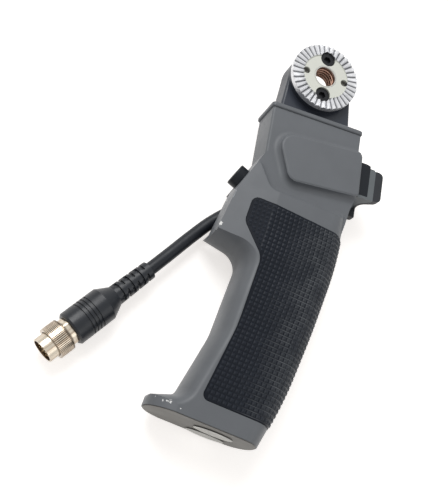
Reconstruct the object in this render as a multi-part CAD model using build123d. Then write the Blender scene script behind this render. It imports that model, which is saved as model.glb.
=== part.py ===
from build123d import *
import math
import os

# Pistol-grip zoom controller on a toothed rosette, in millimetres.
#
# The origin is the centre of the rosette's threaded hole, on the flat face of its hub.
# +Z is the rosette's axis, +Y runs up the head away from the handle, and +X is the thumb side.
# The grip lies on its far side, so -Z points at the surface that it and its cord lie on.

os.makedirs("parts", exist_ok=True)

# General fits and allowances.
overrun = 30.0                 # how far a cutter runs past what it cuts
thin_overrun = 1.0             # the same for cutters in narrow places
fuzz = 0.001                   # how closely faces and edges are found by their place
wall = 2.4                     # moulded wall of the head
grip_wall = 3.2                # moulded wall of the handle, deep enough for the rubber's recess
seam_gap = 0.05                # between two moulded parts that meet
running_gap = 0.05             # radial, round a shaft that turns
clearance_gap = 0.15           # radial, round a screw or a post
moving_gap = 0.4               # round a part that swings or slides in an opening

# Where the housing lies.
mid_z = -12.0                  # the split plane of the two housing halves
head_x = 0.9                   # middle of the head's width
grip_turn = -9.0               # the handle's own frame is turned this much about Z

# Rosette.
rosette_r = 15.875
rosette_t = 2.6
tooth_ring_r = 10.7            # inner radius of the ring of teeth
tooth_count = 36
tooth_h = 1.0
tooth_root_share = 0.5         # how far the tooth roots lie below the hub face, of their height
tooth_land_share = 0.12        # flat crest of a tooth, of its pitch
thread_r = 4.76                # 3/8 inch thread, major radius
insert_wall = 0.6
rosette_screw_y = 9.2          # the two screws stand on the head's axis
rosette_screw_head = (3.4, 2.4)    # radius and height of a low cap head
rosette_screw_hex = (1.75, 1.5)    # radius and depth of its socket
rosette_screw_l = 4.8
screw_head_sink = 0.9
screw_shank_r = 2.0
pin_hole_r = 1.65
pin_hole_x = 9.3
pin_hole_depth = 2.2

# Neck bracket that carries the rosette, a channel that is open to the far side.
boss_r = 15.3
boss_t = 3.0
register_r = 14.2              # the rosette's register in the boss
register_t = 2.0
neck_x = 0.3                   # middle of the neck's width
neck_top_half_w = 15.4
neck_low_half_w = 17.0
neck_taper_y = -19.0
neck_end_y = -32.4
neck_plate_t = 3.4
neck_depth = 10.4
neck_flange_t = 3.0
neck_edge_r = 1.2
neck_screw_y = -27.5
neck_screw_half_span = 10.0
neck_pillar_r = 3.4

# Screws that hold the neck and join the halves, driven from the far side.
screw_r = 1.5
screw_head = (2.75, 3.0)       # radius and height of a cap head
screw_hex = (1.25, 1.5)        # radius and depth of its socket
screw_seat_z = -17.6           # where the heads bear on the far half
neck_screw_l = 11.2
housing_screw_l = 12.0
housing_screws = ((0.6, -42.4), (26.8, -55.5), (-10.0, -160.3), (18.5, -160.3))
pillar_r = 3.0

# Head of the housing.
head_half_w = 21.5
head_half_t = 8.8
head_top_y = -21.2
head_low_y = -70.0
head_edge_r = 1.0
collar_t = 2.3
collar_over = 0.8
collar_corner_r = 1.6
collar_edge_r = 0.7
collar_spigot = 2.0
collar_spigot_t = 1.2

# Raised hood on both sides of the head, round the rocker.
hood_half_t = 12.0
hood_left_top = (-17.6, -33.9)
hood_right_top = (23.4, -30.8)
hood_right_low = (23.9, -52.3)
hood_left_low = (-9.2, -54.7)
hood_radii = (6.0, 2.4, 2.0, 5.0)
hood_edge_r = 0.9
hood_foot_r = 2.9
ridge_points = ((-60.0, -63.0), (-23.0, -50.8), (-16.4, -61.9), (21.5, -64.6), (70.0, -68.0))
ridge_radii = (2.0, 6.5, 20.0)
ridge_foot_r = 3.8
head_back = ((18.2, -76.0), (20.4, -66.0), (21.9, -58.0))    # sweep under the hood
head_back_r = 10.0

# Handle, in its own frame: x across it toward the thumb side, y along it, base at the lowest y.
grip_half_t = 12.8
grip_round = 5.2               # width of the elliptical rounding along its long edges
back_round = 8.6               # the same along its back, which is rounder
round_share = 0.97             # of the half thickness that the rounding takes
inset_round_share = 0.5        # how fast the rounding narrows as the form is moved inward
base_y = -165.0
back_line = ((27.4, -20.0), (33.7, -80.0), (32.1, -112.0), (29.3, -143.0), (18.5, -190.0))
back_radii = (0.0, 150.0, 300.0, 160.0, 0.0)
bay_line = ((-60.0, -190.0), (-60.0, -173.0), (-12.8, -156.2), (-7.0, -128.0), (-6.2, -92.4),
            (-60.0, -85.5), (-60.0, -20.0))
bay_radii = (0.0, 0.0, 5.0, 30.0, 7.0, 0.0, 0.0)
front_line = ((-6.0, -40.0), (-13.5, -46.7), (-20.0, -68.2), (-22.1, -90.9), (-14.0, -93.5),
              (-14.0, -155.5), (-23.3, -158.9), (-23.3, -165.0), (50.0, -165.0), (50.0, -40.0))
front_radii = (0.0, 0.0, 25.0, 1.3, 0.0, 0.0, 5.0, 0.0, 0.0, 0.0)
toe_half_t = 13.0
toe_end_r = 12.5
toe_x = -23.3
nose_half_t = 9.8              # half thickness of the handle at its front edge under the button
nose_flat_x = 0.0              # where the sides reach their full thickness
nose_flat_half_t = 13.2
toe_split_y = -110.0

# Base cap and the mouth of the handle that its spigot fills.
cap_t = 0.8
cap_inset = 0.45
cap_spigot = 3.0
mouth_low_x = -5.0
mouth_high_x = 13.5
mouth_half_t = 8.0

# Rooms inside the housing.
room_high_x = 17.0             # thumb side of the head's room
room_top_y = -34.5
room_low_y = -66.0
throat_high_x = 10.0           # thumb side of the passage into the handle
throat_low_y = -84.0
handle_room_x = -11.5          # the handle's room, in the handle's frame
handle_room_top_y = -79.5
handle_room_low_y = -154.0

# Rubber grip.
rubber_t = 1.6
rubber_proud = 0.15            # its studs stand above this
rubber_gap = 0.12
rubber_corners = ((-12.5, -69.3), (-12.5, -81.2), (-1.3, -93.6), (-1.4, -124.0), (-5.8, -156.0),
                  (60.0, -156.0), (60.0, -69.3))
rubber_radii = (3.0, 5.0, 8.0, 60.0, 2.5, 1.0, 1.0)

# Zoom rocker, which swings about a pin along Y; its outlines are drawn from that pin.
hinge_x = 20.6
drum_r = 9.1
drum_wall = 1.6
drum_half_angle = 74.0
drum_room_x = 8.0
drum_top_y = -33.9
drum_low_y = -49.6
end_gap = 0.4                  # between the rocker's ends and its opening
hub_r = 3.2
rocker_pin_r = 1.5
pin_seat = 2.2                 # how deep the pin sits in the housing at each end
horn_half_z = 8.7
horn_flat = 1.7                # flat end of a horn, beside the saddle's slope
saddle_half_z = 2.2
block_reach = (8.8, 6.2, 7.2)  # reach of the near horn, the saddle and the far horn
seat_reach = (11.6, 7.8, 8.4)
pad_reach = (15.4, 9.0, 10.8)
block_low_x = 2.6
seat_low_x = 3.9
seat_top_y = -35.6
end_wall_t = 1.1
pad_top_y = -36.1
lobe_low_y = -54.6             # the pad's far horn ends in a lobe below the rocker's lower end
lobe_low_x = 5.4               # from the hinge
lobe_high_z = -4.5
pad_corner_r = (2.2, 1.5)      # at the near horn and at the far one
saddle_r = 5.0
corner_reach = 13.5            # rounded upper corner of the rocker, from the hinge
corner_r = 7.5
rocker_tab = (7.0, 1.4)        # reach and half height of the tab between the spring's legs
tab_high_y = -37.0
tab_l = 3.0

# Spring that centres the rocker, a flat hairpin round its hub.
hairpin_r = 3.85
hairpin_t = 0.5
hairpin_reach = 13.0
hairpin_gap = 1.45             # half the space between its legs
post_r = 1.4
post_x = 10.5                  # from the hinge
post_l = 7.5

# Sector gear on the rocker's hub and the pinion of the potentiometer.
gear_module = 0.6
pressure_angle = 25.0
sector_teeth = 34              # counted round the full circle
pinion_teeth = 12
sector_shown = 7               # teeth cut on the sector
gear_steps = 4                 # points along a tooth's flank
gear_t = 2.0
gear_high_y = -44.0
gear_backlash = 0.12
sector_ring_t = 1.3
dedendum_share = 1.25          # of the module

# Potentiometer, clamped in a rib between the halves.
rib_t = 1.6
rib_high_y = -49.6
rib_low_x = -1.0
rib_high_x = 16.0
pot_r = 6.2
pot_l = 8.0
pot_bushing_r = 3.0
pot_bushing_l = 3.6            # from the body through the rib and its nut
pot_nut = (4.3, 1.7)           # radius over corners and thickness
pot_shaft_r = 1.5
pot_shaft_end = 1.6            # how far the shaft sits inside the body
pot_terminal = (1.2, 0.5, 3.0)
pot_terminal_pitch = 3.0
terminal_count = 3

# Record button on the slope, along its axis from the slope outward.
button_base = (-26.5, -55.8)
button_angle = 153.0           # direction of its axis, outward
button_r = 5.0
button_proud = 3.9
button_edge_r = 0.6
slope_wall = 1.8
skirt_r = 5.5
skirt_t = 0.9
button_travel = 1.5
stem_r = 1.6
stem_l = 6.0
button_room_r = 5.95
guide_r = 5.85
guide_out = -5.6               # outer face of the guide
guide_t = 1.2
guide_collar = (2.3, 0.7)      # radius and height
stem_room_r = 4.4
coil_r = 3.4
coil_wire_r = 0.25
coil_turns = 3
switch_out = -11.1             # outer face of the switch
switch_l = 5.0
switch_w = 9.0
switch_h = 5.0
switch_plunger = (1.2, 0.55)
switch_room_gap = 0.3
switch_legs = (0.6, 0.4, 2.2)
switch_leg_pitch = 3.0
switch_post_w = 7.0
switch_post_l = 4.0

# Circuit board in the handle, in the handle's frame.
board_x = (2.0, 23.0)
board_y = (-134.0, -84.0)
board_z = (1.8, 3.4)
board_boss_r = 2.4
board_screws = ((12.5, -88.5), (12.5, -129.5))
board_screw_r = 1.25
board_screw_l = 5.5
board_screw_head = (2.2, 1.6)
board_screw_hex = (0.9, 0.8)
header_size = (11.0, 6.0, 5.0)
header_place = (7.5, -99.0)
header_cavity_wall = 0.8
chip_size = (9.0, 9.0, 1.8)
chip_place = (14.0, -114.0)

# Cord and its way out of the far half, through a gland in a wall across its axis.
cord_r = 2.8
cord_wall = (-24.1, -66.4)     # where the cord's axis leaves that wall
cord_angle = 219.8             # direction of the cord there
cord_z = -18.6
pocket_top_z = -14.4           # ceiling of the recess in front of the wall
pocket_half_w = 5.5
pocket_x = -14.2               # the recess below it, in the handle's frame
pocket_low_y = -88.4
pocket_high_y = -72.0
pocket_rubber_wall = 2.2       # between the recess and the rubber
gland_r = 3.5
gland_flange = (4.1, 1.0)
gland_neck = (3.45, 2.6)       # radius and reach of the sleeve outside
gland_in = 3.4
tail_in = 5.5
tail_room = (3.3, 7.0)
cord_first_bend = 10.0         # from the wall along the cord
cord_middle = (-41.9, -85.3, -19.3)
cord_last_bend = 8.0           # before the plug's mouth
cord_in_plug = 7.9
bend_share = 0.45              # of the shorter run, spent on each bend

# Plug on the cord's end, along its axis from the strain relief's mouth.
plug_mouth = (-56.3, -104.4, -18.1)
plug_angle = 231.7
relief_r = (3.9, 4.3)
relief_l = 18.0
relief_groove = (1.3, 0.8)     # width and depth
relief_web = 2.2               # width of the two webs across each groove
relief_groove_count = 6
relief_groove_pitch = 2.6
relief_first_groove = 2.2
plug_bore_gap = 0.05
cone_l = 5.6
boot_r = 7.2
boot_l = 16.8
boot_edge = 0.7
boot_groove = (0.7, 0.45)
boot_groove_count = 4
boot_groove_pitch = 1.6
boot_first_groove = 5.1
flange_r = 5.6
flange_flat = 5.2
flange_l = 2.6
ring_r = 6.8
ring_bore_r = 5.6
ring_lip_r = 5.35
ring_lip_l = 1.0
ring_l = 6.1
ring_gap = 0.3
ring_knurls = 60
knurl_depth = 0.3
ring_plain = 1.2               # smooth band at each end of the ring
shell_r = 5.3
shell_wall = 0.7
shell_l = 10.7
key_groove = (1.2, 0.35)
insert_drop = 2.0              # of the insert's face below the shell's rim
insert_gap = 0.05
contact_rings = ((2.9, 8), (1.1, 4))
contact_r = 0.4
contact_l = 1.4
contact_seat = 2.0

low_end = (Align.CENTER, Align.CENTER, Align.MIN)


def crossing(first, second):
    """Point where two lines cross, each given by two points."""
    (ax, ay), (bx, by) = first
    (cx, cy), (dx, dy) = second
    across = (bx - ax) * (dy - cy) - (by - ay) * (dx - cx)
    along = ((cx - ax) * (dy - cy) - (cy - ay) * (dx - cx)) / across
    return ax + along * (bx - ax), ay + along * (by - ay)


def turning(before, corner, after):
    """Positive where a closed outline turns left at a corner."""
    return ((corner[0] - before[0]) * (after[1] - corner[1])
            - (corner[1] - before[1]) * (after[0] - corner[0]))


def area_sign(points):
    """Plus one for an outline that runs anticlockwise, minus one otherwise."""
    twice = sum(a[0] * b[1] - b[0] * a[1] for a, b in zip(points, points[1:] + points[:1]))
    return math.copysign(1, twice)


def inset_outline(points, radii, amount):
    """Corners and radii of a closed outline moved inward by an amount."""
    points = list(points)
    sign = area_sign(points)
    sides = []
    for start, end in zip(points, points[1:] + points[:1]):
        length = math.dist(start, end)
        nx = sign * (start[1] - end[1]) / length * amount
        ny = sign * (end[0] - start[0]) / length * amount
        sides.append(((start[0] + nx, start[1] + ny), (end[0] + nx, end[1] + ny)))
    corners = [crossing(sides[i - 1], sides[i]) for i in range(len(points))]
    new_radii = []
    for i, radius in enumerate(radii):
        bend = sign * turning(points[i - 1], points[i], points[(i + 1) % len(points)])
        grown = radius - amount if bend > 0 else radius + amount
        new_radii.append(max(grown, 0) if radius > 0 else 0)
    return corners, new_radii


def rounded_face(points, radii):
    """Closed face through corner points, each rounded by its own radius."""
    points = list(points)
    edges = []
    ends = []
    for i, corner in enumerate(points):
        before = Vector(*points[i - 1]) - Vector(*corner)
        after = Vector(*points[(i + 1) % len(points)]) - Vector(*corner)
        if radii[i] <= 0:
            ends.append((Vector(*corner), Vector(*corner)))
            continue
        half = math.radians(before.get_angle(after)) / 2
        back = radii[i] / math.tan(half)
        start = Vector(*corner) + before.normalized() * back
        end = Vector(*corner) + after.normalized() * back
        inward = (before.normalized() + after.normalized()).normalized()
        middle = Vector(*corner) + inward * (radii[i] / math.sin(half) - radii[i])
        edges.append(Edge.make_three_point_arc(start, middle, end))
        ends.append((start, end))
    for i in range(len(points)):
        start, end = ends[i][1], ends[(i + 1) % len(points)][0]
        edges.append(Edge.make_line(start, end))
    return Face(Wire(edges))


def slab(face, low, high):
    """Prism of a flat face between two heights along Z."""
    return Pos(0, 0, low) * extrude(face, high - low, dir=(0, 0, 1))


def cross_prism(points, radii, high_y, low_y):
    """Prism along Y of an outline drawn across it, in x and z."""
    plane = Plane((0, high_y, 0), x_dir=(1, 0, 0), z_dir=(0, -1, 0))
    return extrude(plane * rounded_face(points, radii), high_y - low_y, dir=(0, -1, 0))


def edges_at_height(solid, height):
    """Edges that lie in the plane at a height along Z."""
    return [e for e in solid.edges() if abs(e.bounding_box().min.Z - height) < fuzz
            and abs(e.bounding_box().max.Z - height) < fuzz]


def grip_place():
    """Frame of the handle, turned in the plane of the housing's split."""
    return Location((0, 0, mid_z), (0, 0, grip_turn))


def head_place():
    """Frame of the head, on the plane of the housing's split."""
    return Location((0, 0, mid_z))


def grip_outline():
    """Whole outline of the handle with its finger bay left open to the front."""
    return bay_line + back_line, bay_radii + back_radii


def rounded_blank(inset, width, low_x):
    """Plate of the handle's outline whose edges beyond a place in x have an elliptical rounding."""
    points, radii = inset_outline(*grip_outline(), inset)
    rounding = width - inset * inset_round_share
    flat_half = rounding / round_share
    blank = slab(rounded_face(points, radii), -flat_half, flat_half)
    edges = edges_at_height(blank, flat_half) + edges_at_height(blank, -flat_half)
    blank = fillet([e for e in edges if e.center().X > low_x], rounding)
    return scale(blank, by=(1, 1, (grip_half_t - inset) / flat_half))


def grip_form(inset):
    """The handle's outer form moved inward by an inset, in the handle's own frame."""
    body = rounded_blank(inset, grip_round, -overrun * 3) & rounded_blank(inset, back_round, nose_flat_x)
    points, radii = inset_outline(front_line, front_radii, inset)
    front = slab(rounded_face(points, radii), -overrun, overrun)
    nose_slope = (nose_flat_half_t - nose_half_t) / (nose_flat_x - front_line[3][0])
    far_x = nose_flat_x - overrun - overrun
    far_half_t = nose_flat_half_t - nose_slope * (nose_flat_x - far_x)
    nose_points = [(far_x, -far_half_t), (nose_flat_x, -nose_flat_half_t),
                   (-far_x, -nose_flat_half_t), (-far_x, nose_flat_half_t),
                   (nose_flat_x, nose_flat_half_t), (far_x, far_half_t)]
    points, radii = inset_outline(nose_points, [0] * len(nose_points), inset)
    nose = cross_prism(points, radii, overrun, toe_split_y)
    toe_points = [(toe_x, -toe_half_t), (-far_x, -toe_half_t), (-far_x, toe_half_t), (toe_x, toe_half_t)]
    points, radii = inset_outline(toe_points, (toe_end_r, 0, 0, toe_end_r), inset)
    toe = cross_prism(points, radii, toe_split_y, bay_line[0][1] - overrun)
    return body & front & (nose + toe)


def hood_corners():
    """Corners of the raised hood round the rocker, clockwise from the upper left."""
    return (hood_left_top, hood_right_top, hood_right_low, hood_left_low)


def hood_face(grow=0):
    """Outline of the hood, grown outward by an amount."""
    points, radii = inset_outline(hood_corners(), hood_radii, -grow)
    return rounded_face(points, radii)


def head_face():
    """Outline of the head seen along Z, with the hood's thumb side and the slope behind it."""
    left, right = head_x - head_half_w, head_x + head_half_w
    outline = ((left, head_top_y), (left, head_low_y), (head_x, head_low_y), (head_x, head_back[0][1]))
    outline += head_back + (hood_right_low, (right, hood_right_low[1]), (right, head_top_y))
    radii = [head_back_r if corner in head_back[1:] else 0 for corner in outline]
    return rounded_face(outline, radii)


def head_form():
    """The head with its hood, before it is hollowed, on the split plane."""
    core = slab(head_face(), -head_half_t, head_half_t)
    core = fillet(core.edges().filter_by(Axis.Y).group_by(Axis.X)[0], head_edge_r)
    hood = slab(hood_face(), -hood_half_t, hood_half_t)
    hood = fillet(edges_at_height(hood, hood_half_t) + edges_at_height(hood, -hood_half_t), hood_edge_r)
    foot_half_t = head_half_t + hood_foot_r
    foot = slab(hood_face(hood_foot_r), -foot_half_t, foot_half_t)
    foot = foot & slab(head_face(), -foot_half_t, foot_half_t)
    hole = slab(hood_face(overrun) - hood_face(), head_half_t, head_half_t + overrun)
    hole = fillet(inner_edges(hole, head_half_t), hood_foot_r)
    return core + hood + (foot - hole - mirror(hole, Plane.XY))


def inner_edges(solid, height):
    """Edges of the hole in a solid's face at a height along Z."""
    face = [f for f in solid.faces() if abs(f.center().Z - height) < fuzz][0]
    return [e for w in face.inner_wires() for e in w.edges()]


def above_ridge():
    """Cutter for what stands above the head's sides beyond the handle's upper edge."""
    top = ((ridge_points[-1][0], overrun), (ridge_points[0][0], overrun))
    points = ridge_points + top
    radii = (0,) + ridge_radii + (0, 0, 0)
    face = rounded_face(points, radii)
    cutter = slab(face, head_half_t, head_half_t + overrun)
    low = edges_at_height(cutter, head_half_t)
    ridge = [e for e in low if e.center().Y < ridge_points[1][1] + ridge_foot_r
             and abs(e.center().X) < -ridge_points[0][0] - ridge_foot_r]
    cutter = fillet(ridge, ridge_foot_r)
    return cutter + mirror(cutter, Plane.XY)


def housing_form():
    """Outer form of both housing halves together, in the part's frame."""
    grip = grip_place() * grip_form(0)
    grip = grip - head_place() * above_ridge()
    return grip + head_place() * head_form()


def box_between(low, high):
    """Box between two opposite corners."""
    size = [b - a for a, b in zip(low, high)]
    return Pos(*low) * Box(*size, align=(Align.MIN, Align.MIN, Align.MIN))


def rod(radius, start, end):
    """Cylinder of a radius between two points."""
    axis = Vector(*end) - Vector(*start)
    return Plane(origin=start, z_dir=axis) * Cylinder(radius, axis.length, align=low_end)


def upright(radius, place, low, high):
    """Cylinder along Z at a place in x and y, between two heights."""
    return rod(radius, (place[0], place[1], low), (place[0], place[1], high))


def rod_along(radius, low_x, high_x):
    """Cylinder on the x axis between two places."""
    return rod(radius, (low_x, 0, 0), (high_x, 0, 0))


def polygon_face(radius, count):
    """Regular polygon about the origin, its corners at a radius."""
    turn = math.tau / count
    points = [(radius * math.cos(turn * i), radius * math.sin(turn * i)) for i in range(count)]
    return rounded_face(points, [0] * count)


def cap_screw(head, hex_socket, shank_r, shank_l):
    """Socket cap screw on the Z axis, its head's seat at the origin and its shank upward."""
    head_r, head_t = head
    socket_r, socket_depth = hex_socket
    screw = Pos(0, 0, -head_t) * Cylinder(head_r, head_t, align=low_end)
    screw = screw - slab(polygon_face(socket_r, 6), -head_t - thin_overrun, socket_depth - head_t)
    return screw + Cylinder(shank_r, shank_l, align=low_end)


def button_place():
    """Frame on the record button's axis, x outward from the slope."""
    return Location((button_base[0], button_base[1], mid_z), (0, 0, button_angle))


def cord_place():
    """Frame where the cord leaves its wall, x along the cord."""
    return Location((cord_wall[0], cord_wall[1], cord_z), (0, 0, cord_angle))


def plug_place():
    """Frame at the plug's mouth, x along the plug."""
    return Location(plug_mouth, (0, 0, plug_angle))


def hinge_place():
    """Frame whose origin is on the rocker's pin, in the part's directions."""
    return Location((hinge_x, 0, mid_z))


def housing_screw_places():
    """Places of the screws that join the halves, in the part's x and y."""
    return [tuple((grip_place() * Pos(x, y, 0)).position)[:2] for x, y in housing_screws]


def neck_screw_places():
    """Places of the screws that hold the neck bracket."""
    return [(neck_x + side * neck_screw_half_span, neck_screw_y) for side in (-1, 1)]


def neck_face(inset=0):
    """Outline of the neck bracket seen along Z, moved inward by an inset."""
    top_w, low_w = neck_top_half_w - inset, neck_low_half_w - inset
    low = ((neck_x - low_w, neck_taper_y), (neck_x - low_w, neck_end_y),
           (neck_x + low_w, neck_end_y), (neck_x + low_w, neck_taper_y))
    left, right = (neck_x - top_w, 0), (neck_x + top_w, 0)
    edges = [Edge.make_three_point_arc(right, (neck_x, top_w), left), Edge.make_line(left, low[0])]
    edges += [Edge.make_line(a, b) for a, b in zip(low, low[1:])]
    edges.append(Edge.make_line(low[-1], right))
    return Face(Wire(edges))


def neck_top():
    """Height of the neck plate's face under the boss."""
    return -rosette_t - boss_t


def neck_bracket():
    """Metal channel with a round end and a boss for the rosette."""
    top = neck_top()
    body = slab(neck_face(), top - neck_depth, top)
    body = fillet(edges_at_height(body, top), neck_edge_r)
    body = body - slab(neck_face(neck_flange_t), top - neck_depth - overrun, top - neck_plate_t)
    body = body - box_between((neck_x - neck_low_half_w + neck_flange_t, neck_end_y - overrun, -overrun),
                              (neck_x + neck_low_half_w - neck_flange_t, neck_end_y + neck_flange_t
                               + thin_overrun, top - neck_plate_t))
    body = body + upright(boss_r, (0, 0), top - fuzz, -rosette_t)
    body = body - upright(register_r + seam_gap, (0, 0), -rosette_t - register_t, overrun)
    body = body - upright(thread_r + insert_wall + seam_gap, (0, 0), -overrun, overrun)
    for y in (-rosette_screw_y, rosette_screw_y):
        body = body - upright(screw_shank_r + fuzz, (0, y), -overrun, overrun)
    for place in neck_screw_places():
        body = body - upright(screw_r + fuzz, place, -overrun, overrun)
    return body


def tooth_gap():
    """Wedge between two teeth of the rosette, across the whole ring, with its root on the x axis."""
    root_z = -tooth_h * tooth_root_share
    half_share = (1 - tooth_land_share) / 2
    wedges = []
    for radius in (tooth_ring_r, rosette_r + thin_overrun):
        half_w = math.tau * radius / tooth_count * half_share
        rise = tooth_h + thin_overrun
        half_top = half_w * rise / tooth_h
        points = ((0, root_z), (half_top, root_z + rise), (-half_top, root_z + rise))
        plane = Plane((radius, 0, 0), x_dir=(0, 1, 0), z_dir=(1, 0, 0))
        wedges.append(plane * rounded_face(points, (0, 0, 0)))
    return loft(wedges, ruled=True)


def rosette_disc():
    """Toothed disc with a raised ring of radial teeth round its hub."""
    tip_z = tooth_h * (1 - tooth_root_share)
    disc = upright(rosette_r, (0, 0), -rosette_t, tip_z)
    disc = disc - upright(tooth_ring_r, (0, 0), 0, overrun)
    gap = tooth_gap()
    gaps = [Rot(0, 0, 360 * i / tooth_count) * gap for i in range(tooth_count)]
    disc = disc.cut(*gaps)
    disc = disc + upright(register_r, (0, 0), -rosette_t - register_t, -rosette_t)
    disc = disc - upright(thread_r + insert_wall + seam_gap, (0, 0), -overrun, overrun)
    seat_z = -screw_head_sink - rosette_screw_head[1]
    for y in (-rosette_screw_y, rosette_screw_y):
        disc = disc - upright(rosette_screw_head[0] + clearance_gap, (0, y), seat_z, overrun)
        disc = disc - upright(screw_shank_r + clearance_gap, (0, y), -overrun, overrun)
    for x in (-pin_hole_x, pin_hole_x):
        disc = disc - upright(pin_hole_r, (x, 0), -pin_hole_depth, overrun)
    return disc


def thread_insert():
    """Threaded bush through the rosette and the neck bracket."""
    low = neck_top() - neck_plate_t
    bush = upright(thread_r + insert_wall, (0, 0), low, 0)
    return bush - upright(thread_r, (0, 0), -overrun, overrun)


def rosette_screws():
    """Two cap screws that hold the rosette to the neck."""
    seat_z = -screw_head_sink - rosette_screw_head[1]
    screw = cap_screw(rosette_screw_head, rosette_screw_hex, screw_shank_r, rosette_screw_l)
    screw = Rot(180, 0, 0) * screw
    return [Pos(0, y, seat_z) * screw for y in (-rosette_screw_y, rosette_screw_y)]


def neck_screws():
    """Two cap screws that hold the neck bracket in the head."""
    screw = cap_screw(screw_head, screw_hex, screw_r, neck_screw_l)
    return [Pos(x, y, screw_seat_z) * screw for x, y in neck_screw_places()]


def joining_screws():
    """Cap screws that hold the halves of the housing together."""
    screw = cap_screw(screw_head, screw_hex, screw_r, housing_screw_l)
    return [Pos(x, y, screw_seat_z) * screw for x, y in housing_screw_places()]


def handle_room():
    """Room in the handle, with the mouth that the base cap fills, in the handle's frame."""
    room = grip_form(grip_wall)
    room = room & box_between((handle_room_x, handle_room_low_y, -overrun),
                              (overrun * 2, handle_room_top_y, overrun))
    mouth = box_between((mouth_low_x, base_y - overrun, -mouth_half_t),
                        (mouth_high_x, handle_room_low_y + thin_overrun, mouth_half_t))
    return room + mouth


def head_rooms():
    """Rooms in the head, in the head's frame: main room, throat, drum and neck."""
    left = head_x - head_half_w + wall
    inner_t = head_half_t - wall
    drum_t = hood_half_t - wall
    room = box_between((left, room_low_y, -inner_t), (room_high_x, room_top_y, inner_t))
    throat = box_between((left, throat_low_y, -inner_t), (throat_high_x, room_low_y + fuzz, inner_t))
    drum = box_between((drum_room_x, drum_low_y - end_wall_t - end_gap, -drum_t),
                       (hinge_x + overrun, drum_top_y + end_gap, drum_t))
    neck_low = neck_x - neck_low_half_w - seam_gap
    neck_high = neck_x + neck_low_half_w + seam_gap
    plate_z = neck_top() - mid_z
    neck = box_between((neck_low, neck_end_y - seam_gap, plate_z - neck_depth - seam_gap),
                       (neck_high, head_top_y + overrun, plate_z + seam_gap))
    spigot = box_between((neck_low - collar_spigot_t, head_top_y - collar_spigot - seam_gap,
                          plate_z - neck_depth - collar_spigot_t),
                         (neck_high + collar_spigot_t, head_top_y + overrun, plate_z + collar_spigot_t))
    return room + throat + drum + neck + spigot


def rubber_face(grow=0):
    """Outline of the rubber on the side of the handle, grown by an amount, in the handle's frame."""
    points, radii = inset_outline(rubber_corners, rubber_radii, -grow)
    return rounded_face(points, radii)


def pocket_block(grow, high_z):
    """Space in front of the cord's wall, grown by an amount, in the part's frame."""
    return cord_place() * box_between((-grow, -overrun, -overrun),
                                      (overrun, pocket_half_w + grow, high_z - cord_z))


def rubber_grip():
    """Rubber that wraps the back of the handle and both of its sides."""
    skin = grip_form(-rubber_proud) - grip_form(rubber_t)
    skin = grip_place() * (skin & slab(rubber_face(), -overrun, overrun))
    return skin - pocket_block(pocket_rubber_wall + rubber_gap, mid_z)


def rubber_recess():
    """Recess in the housing that the rubber lies in."""
    skin = grip_form(-rubber_proud - thin_overrun) - grip_form(rubber_t + seam_gap)
    skin = grip_place() * (skin & slab(rubber_face(rubber_gap), -overrun, overrun))
    return skin - pocket_block(pocket_rubber_wall, mid_z)


def cord_pocket():
    """Recess of the far half behind the lip, where the cord comes out."""
    low = grip_place() * box_between((-overrun * 2, pocket_low_y, -overrun),
                                     (pocket_x, pocket_high_y, pocket_top_z - mid_z))
    return pocket_block(0, pocket_top_z) + low


def cord_hole():
    """Hole for the gland and the room behind it for the cord's tail."""
    gland = rod_along(gland_r + seam_gap, -gland_in - seam_gap, thin_overrun)
    return cord_place() * (gland + rod_along(tail_room[0], -tail_room[1], 0))


def button_rooms():
    """Room round the record button, its guide and its switch."""
    guide_in = guide_out - guide_t
    cap = rod_along(button_r + moving_gap, -slope_wall - thin_overrun, overrun)
    room = rod_along(button_room_r, guide_out + seam_gap, -slope_wall)
    seat = rod_along(guide_r + seam_gap, guide_in - seam_gap, guide_out + seam_gap + fuzz)
    stem = rod_along(stem_room_r, switch_out - switch_room_gap, guide_in)
    half_w, half_h = switch_w / 2 + switch_room_gap, switch_h / 2 + switch_room_gap
    far_x = switch_out - switch_l - switch_legs[2] - switch_room_gap
    switch = box_between((far_x, -half_w, -half_h), (switch_out + switch_room_gap, half_w, half_h))
    return button_place() * (cap + room + seat + stem + switch)


def switch_post():
    """Post under the near half's face that carries the switch."""
    high = head_half_t - wall + fuzz
    middle = switch_out - switch_l / 2
    return button_place() * box_between((middle - switch_post_l / 2, -switch_post_w / 2,
                                         switch_h / 2 + seam_gap),
                                        (middle + switch_post_l / 2, switch_post_w / 2, high))


def inner_ribs():
    """Pillars and ribs inside the housing, before they are bored."""
    ribs = hinge_place() * rod(post_r, (-post_x, drum_top_y + end_gap + fuzz, 0),
                               (-post_x, drum_top_y + end_gap - post_l, 0))
    inner_t = head_half_t - wall + fuzz
    ribs = ribs + head_place() * box_between((rib_low_x, rib_high_y - rib_t, -inner_t),
                                             (rib_high_x, rib_high_y, inner_t))
    places = housing_screw_places()
    ribs = ribs + upright(pillar_r, places[0], mid_z - head_half_t, mid_z + head_half_t)
    for x, y in board_screws:
        boss = rod(board_boss_r, (x, y, board_z[1]), (x, y, grip_half_t - grip_wall + fuzz))
        ribs = ribs + grip_place() * boss
    return ribs


def neck_pillars():
    """Pillars of the far half that reach through the neck's channel to its plate."""
    low, high = screw_seat_z, neck_top() - neck_plate_t - seam_gap
    pillars = [upright(neck_pillar_r, place, low, high) - upright(screw_r + clearance_gap, place, low, high)
               for place in neck_screw_places()]
    return pillars[0] + pillars[1]


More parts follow.
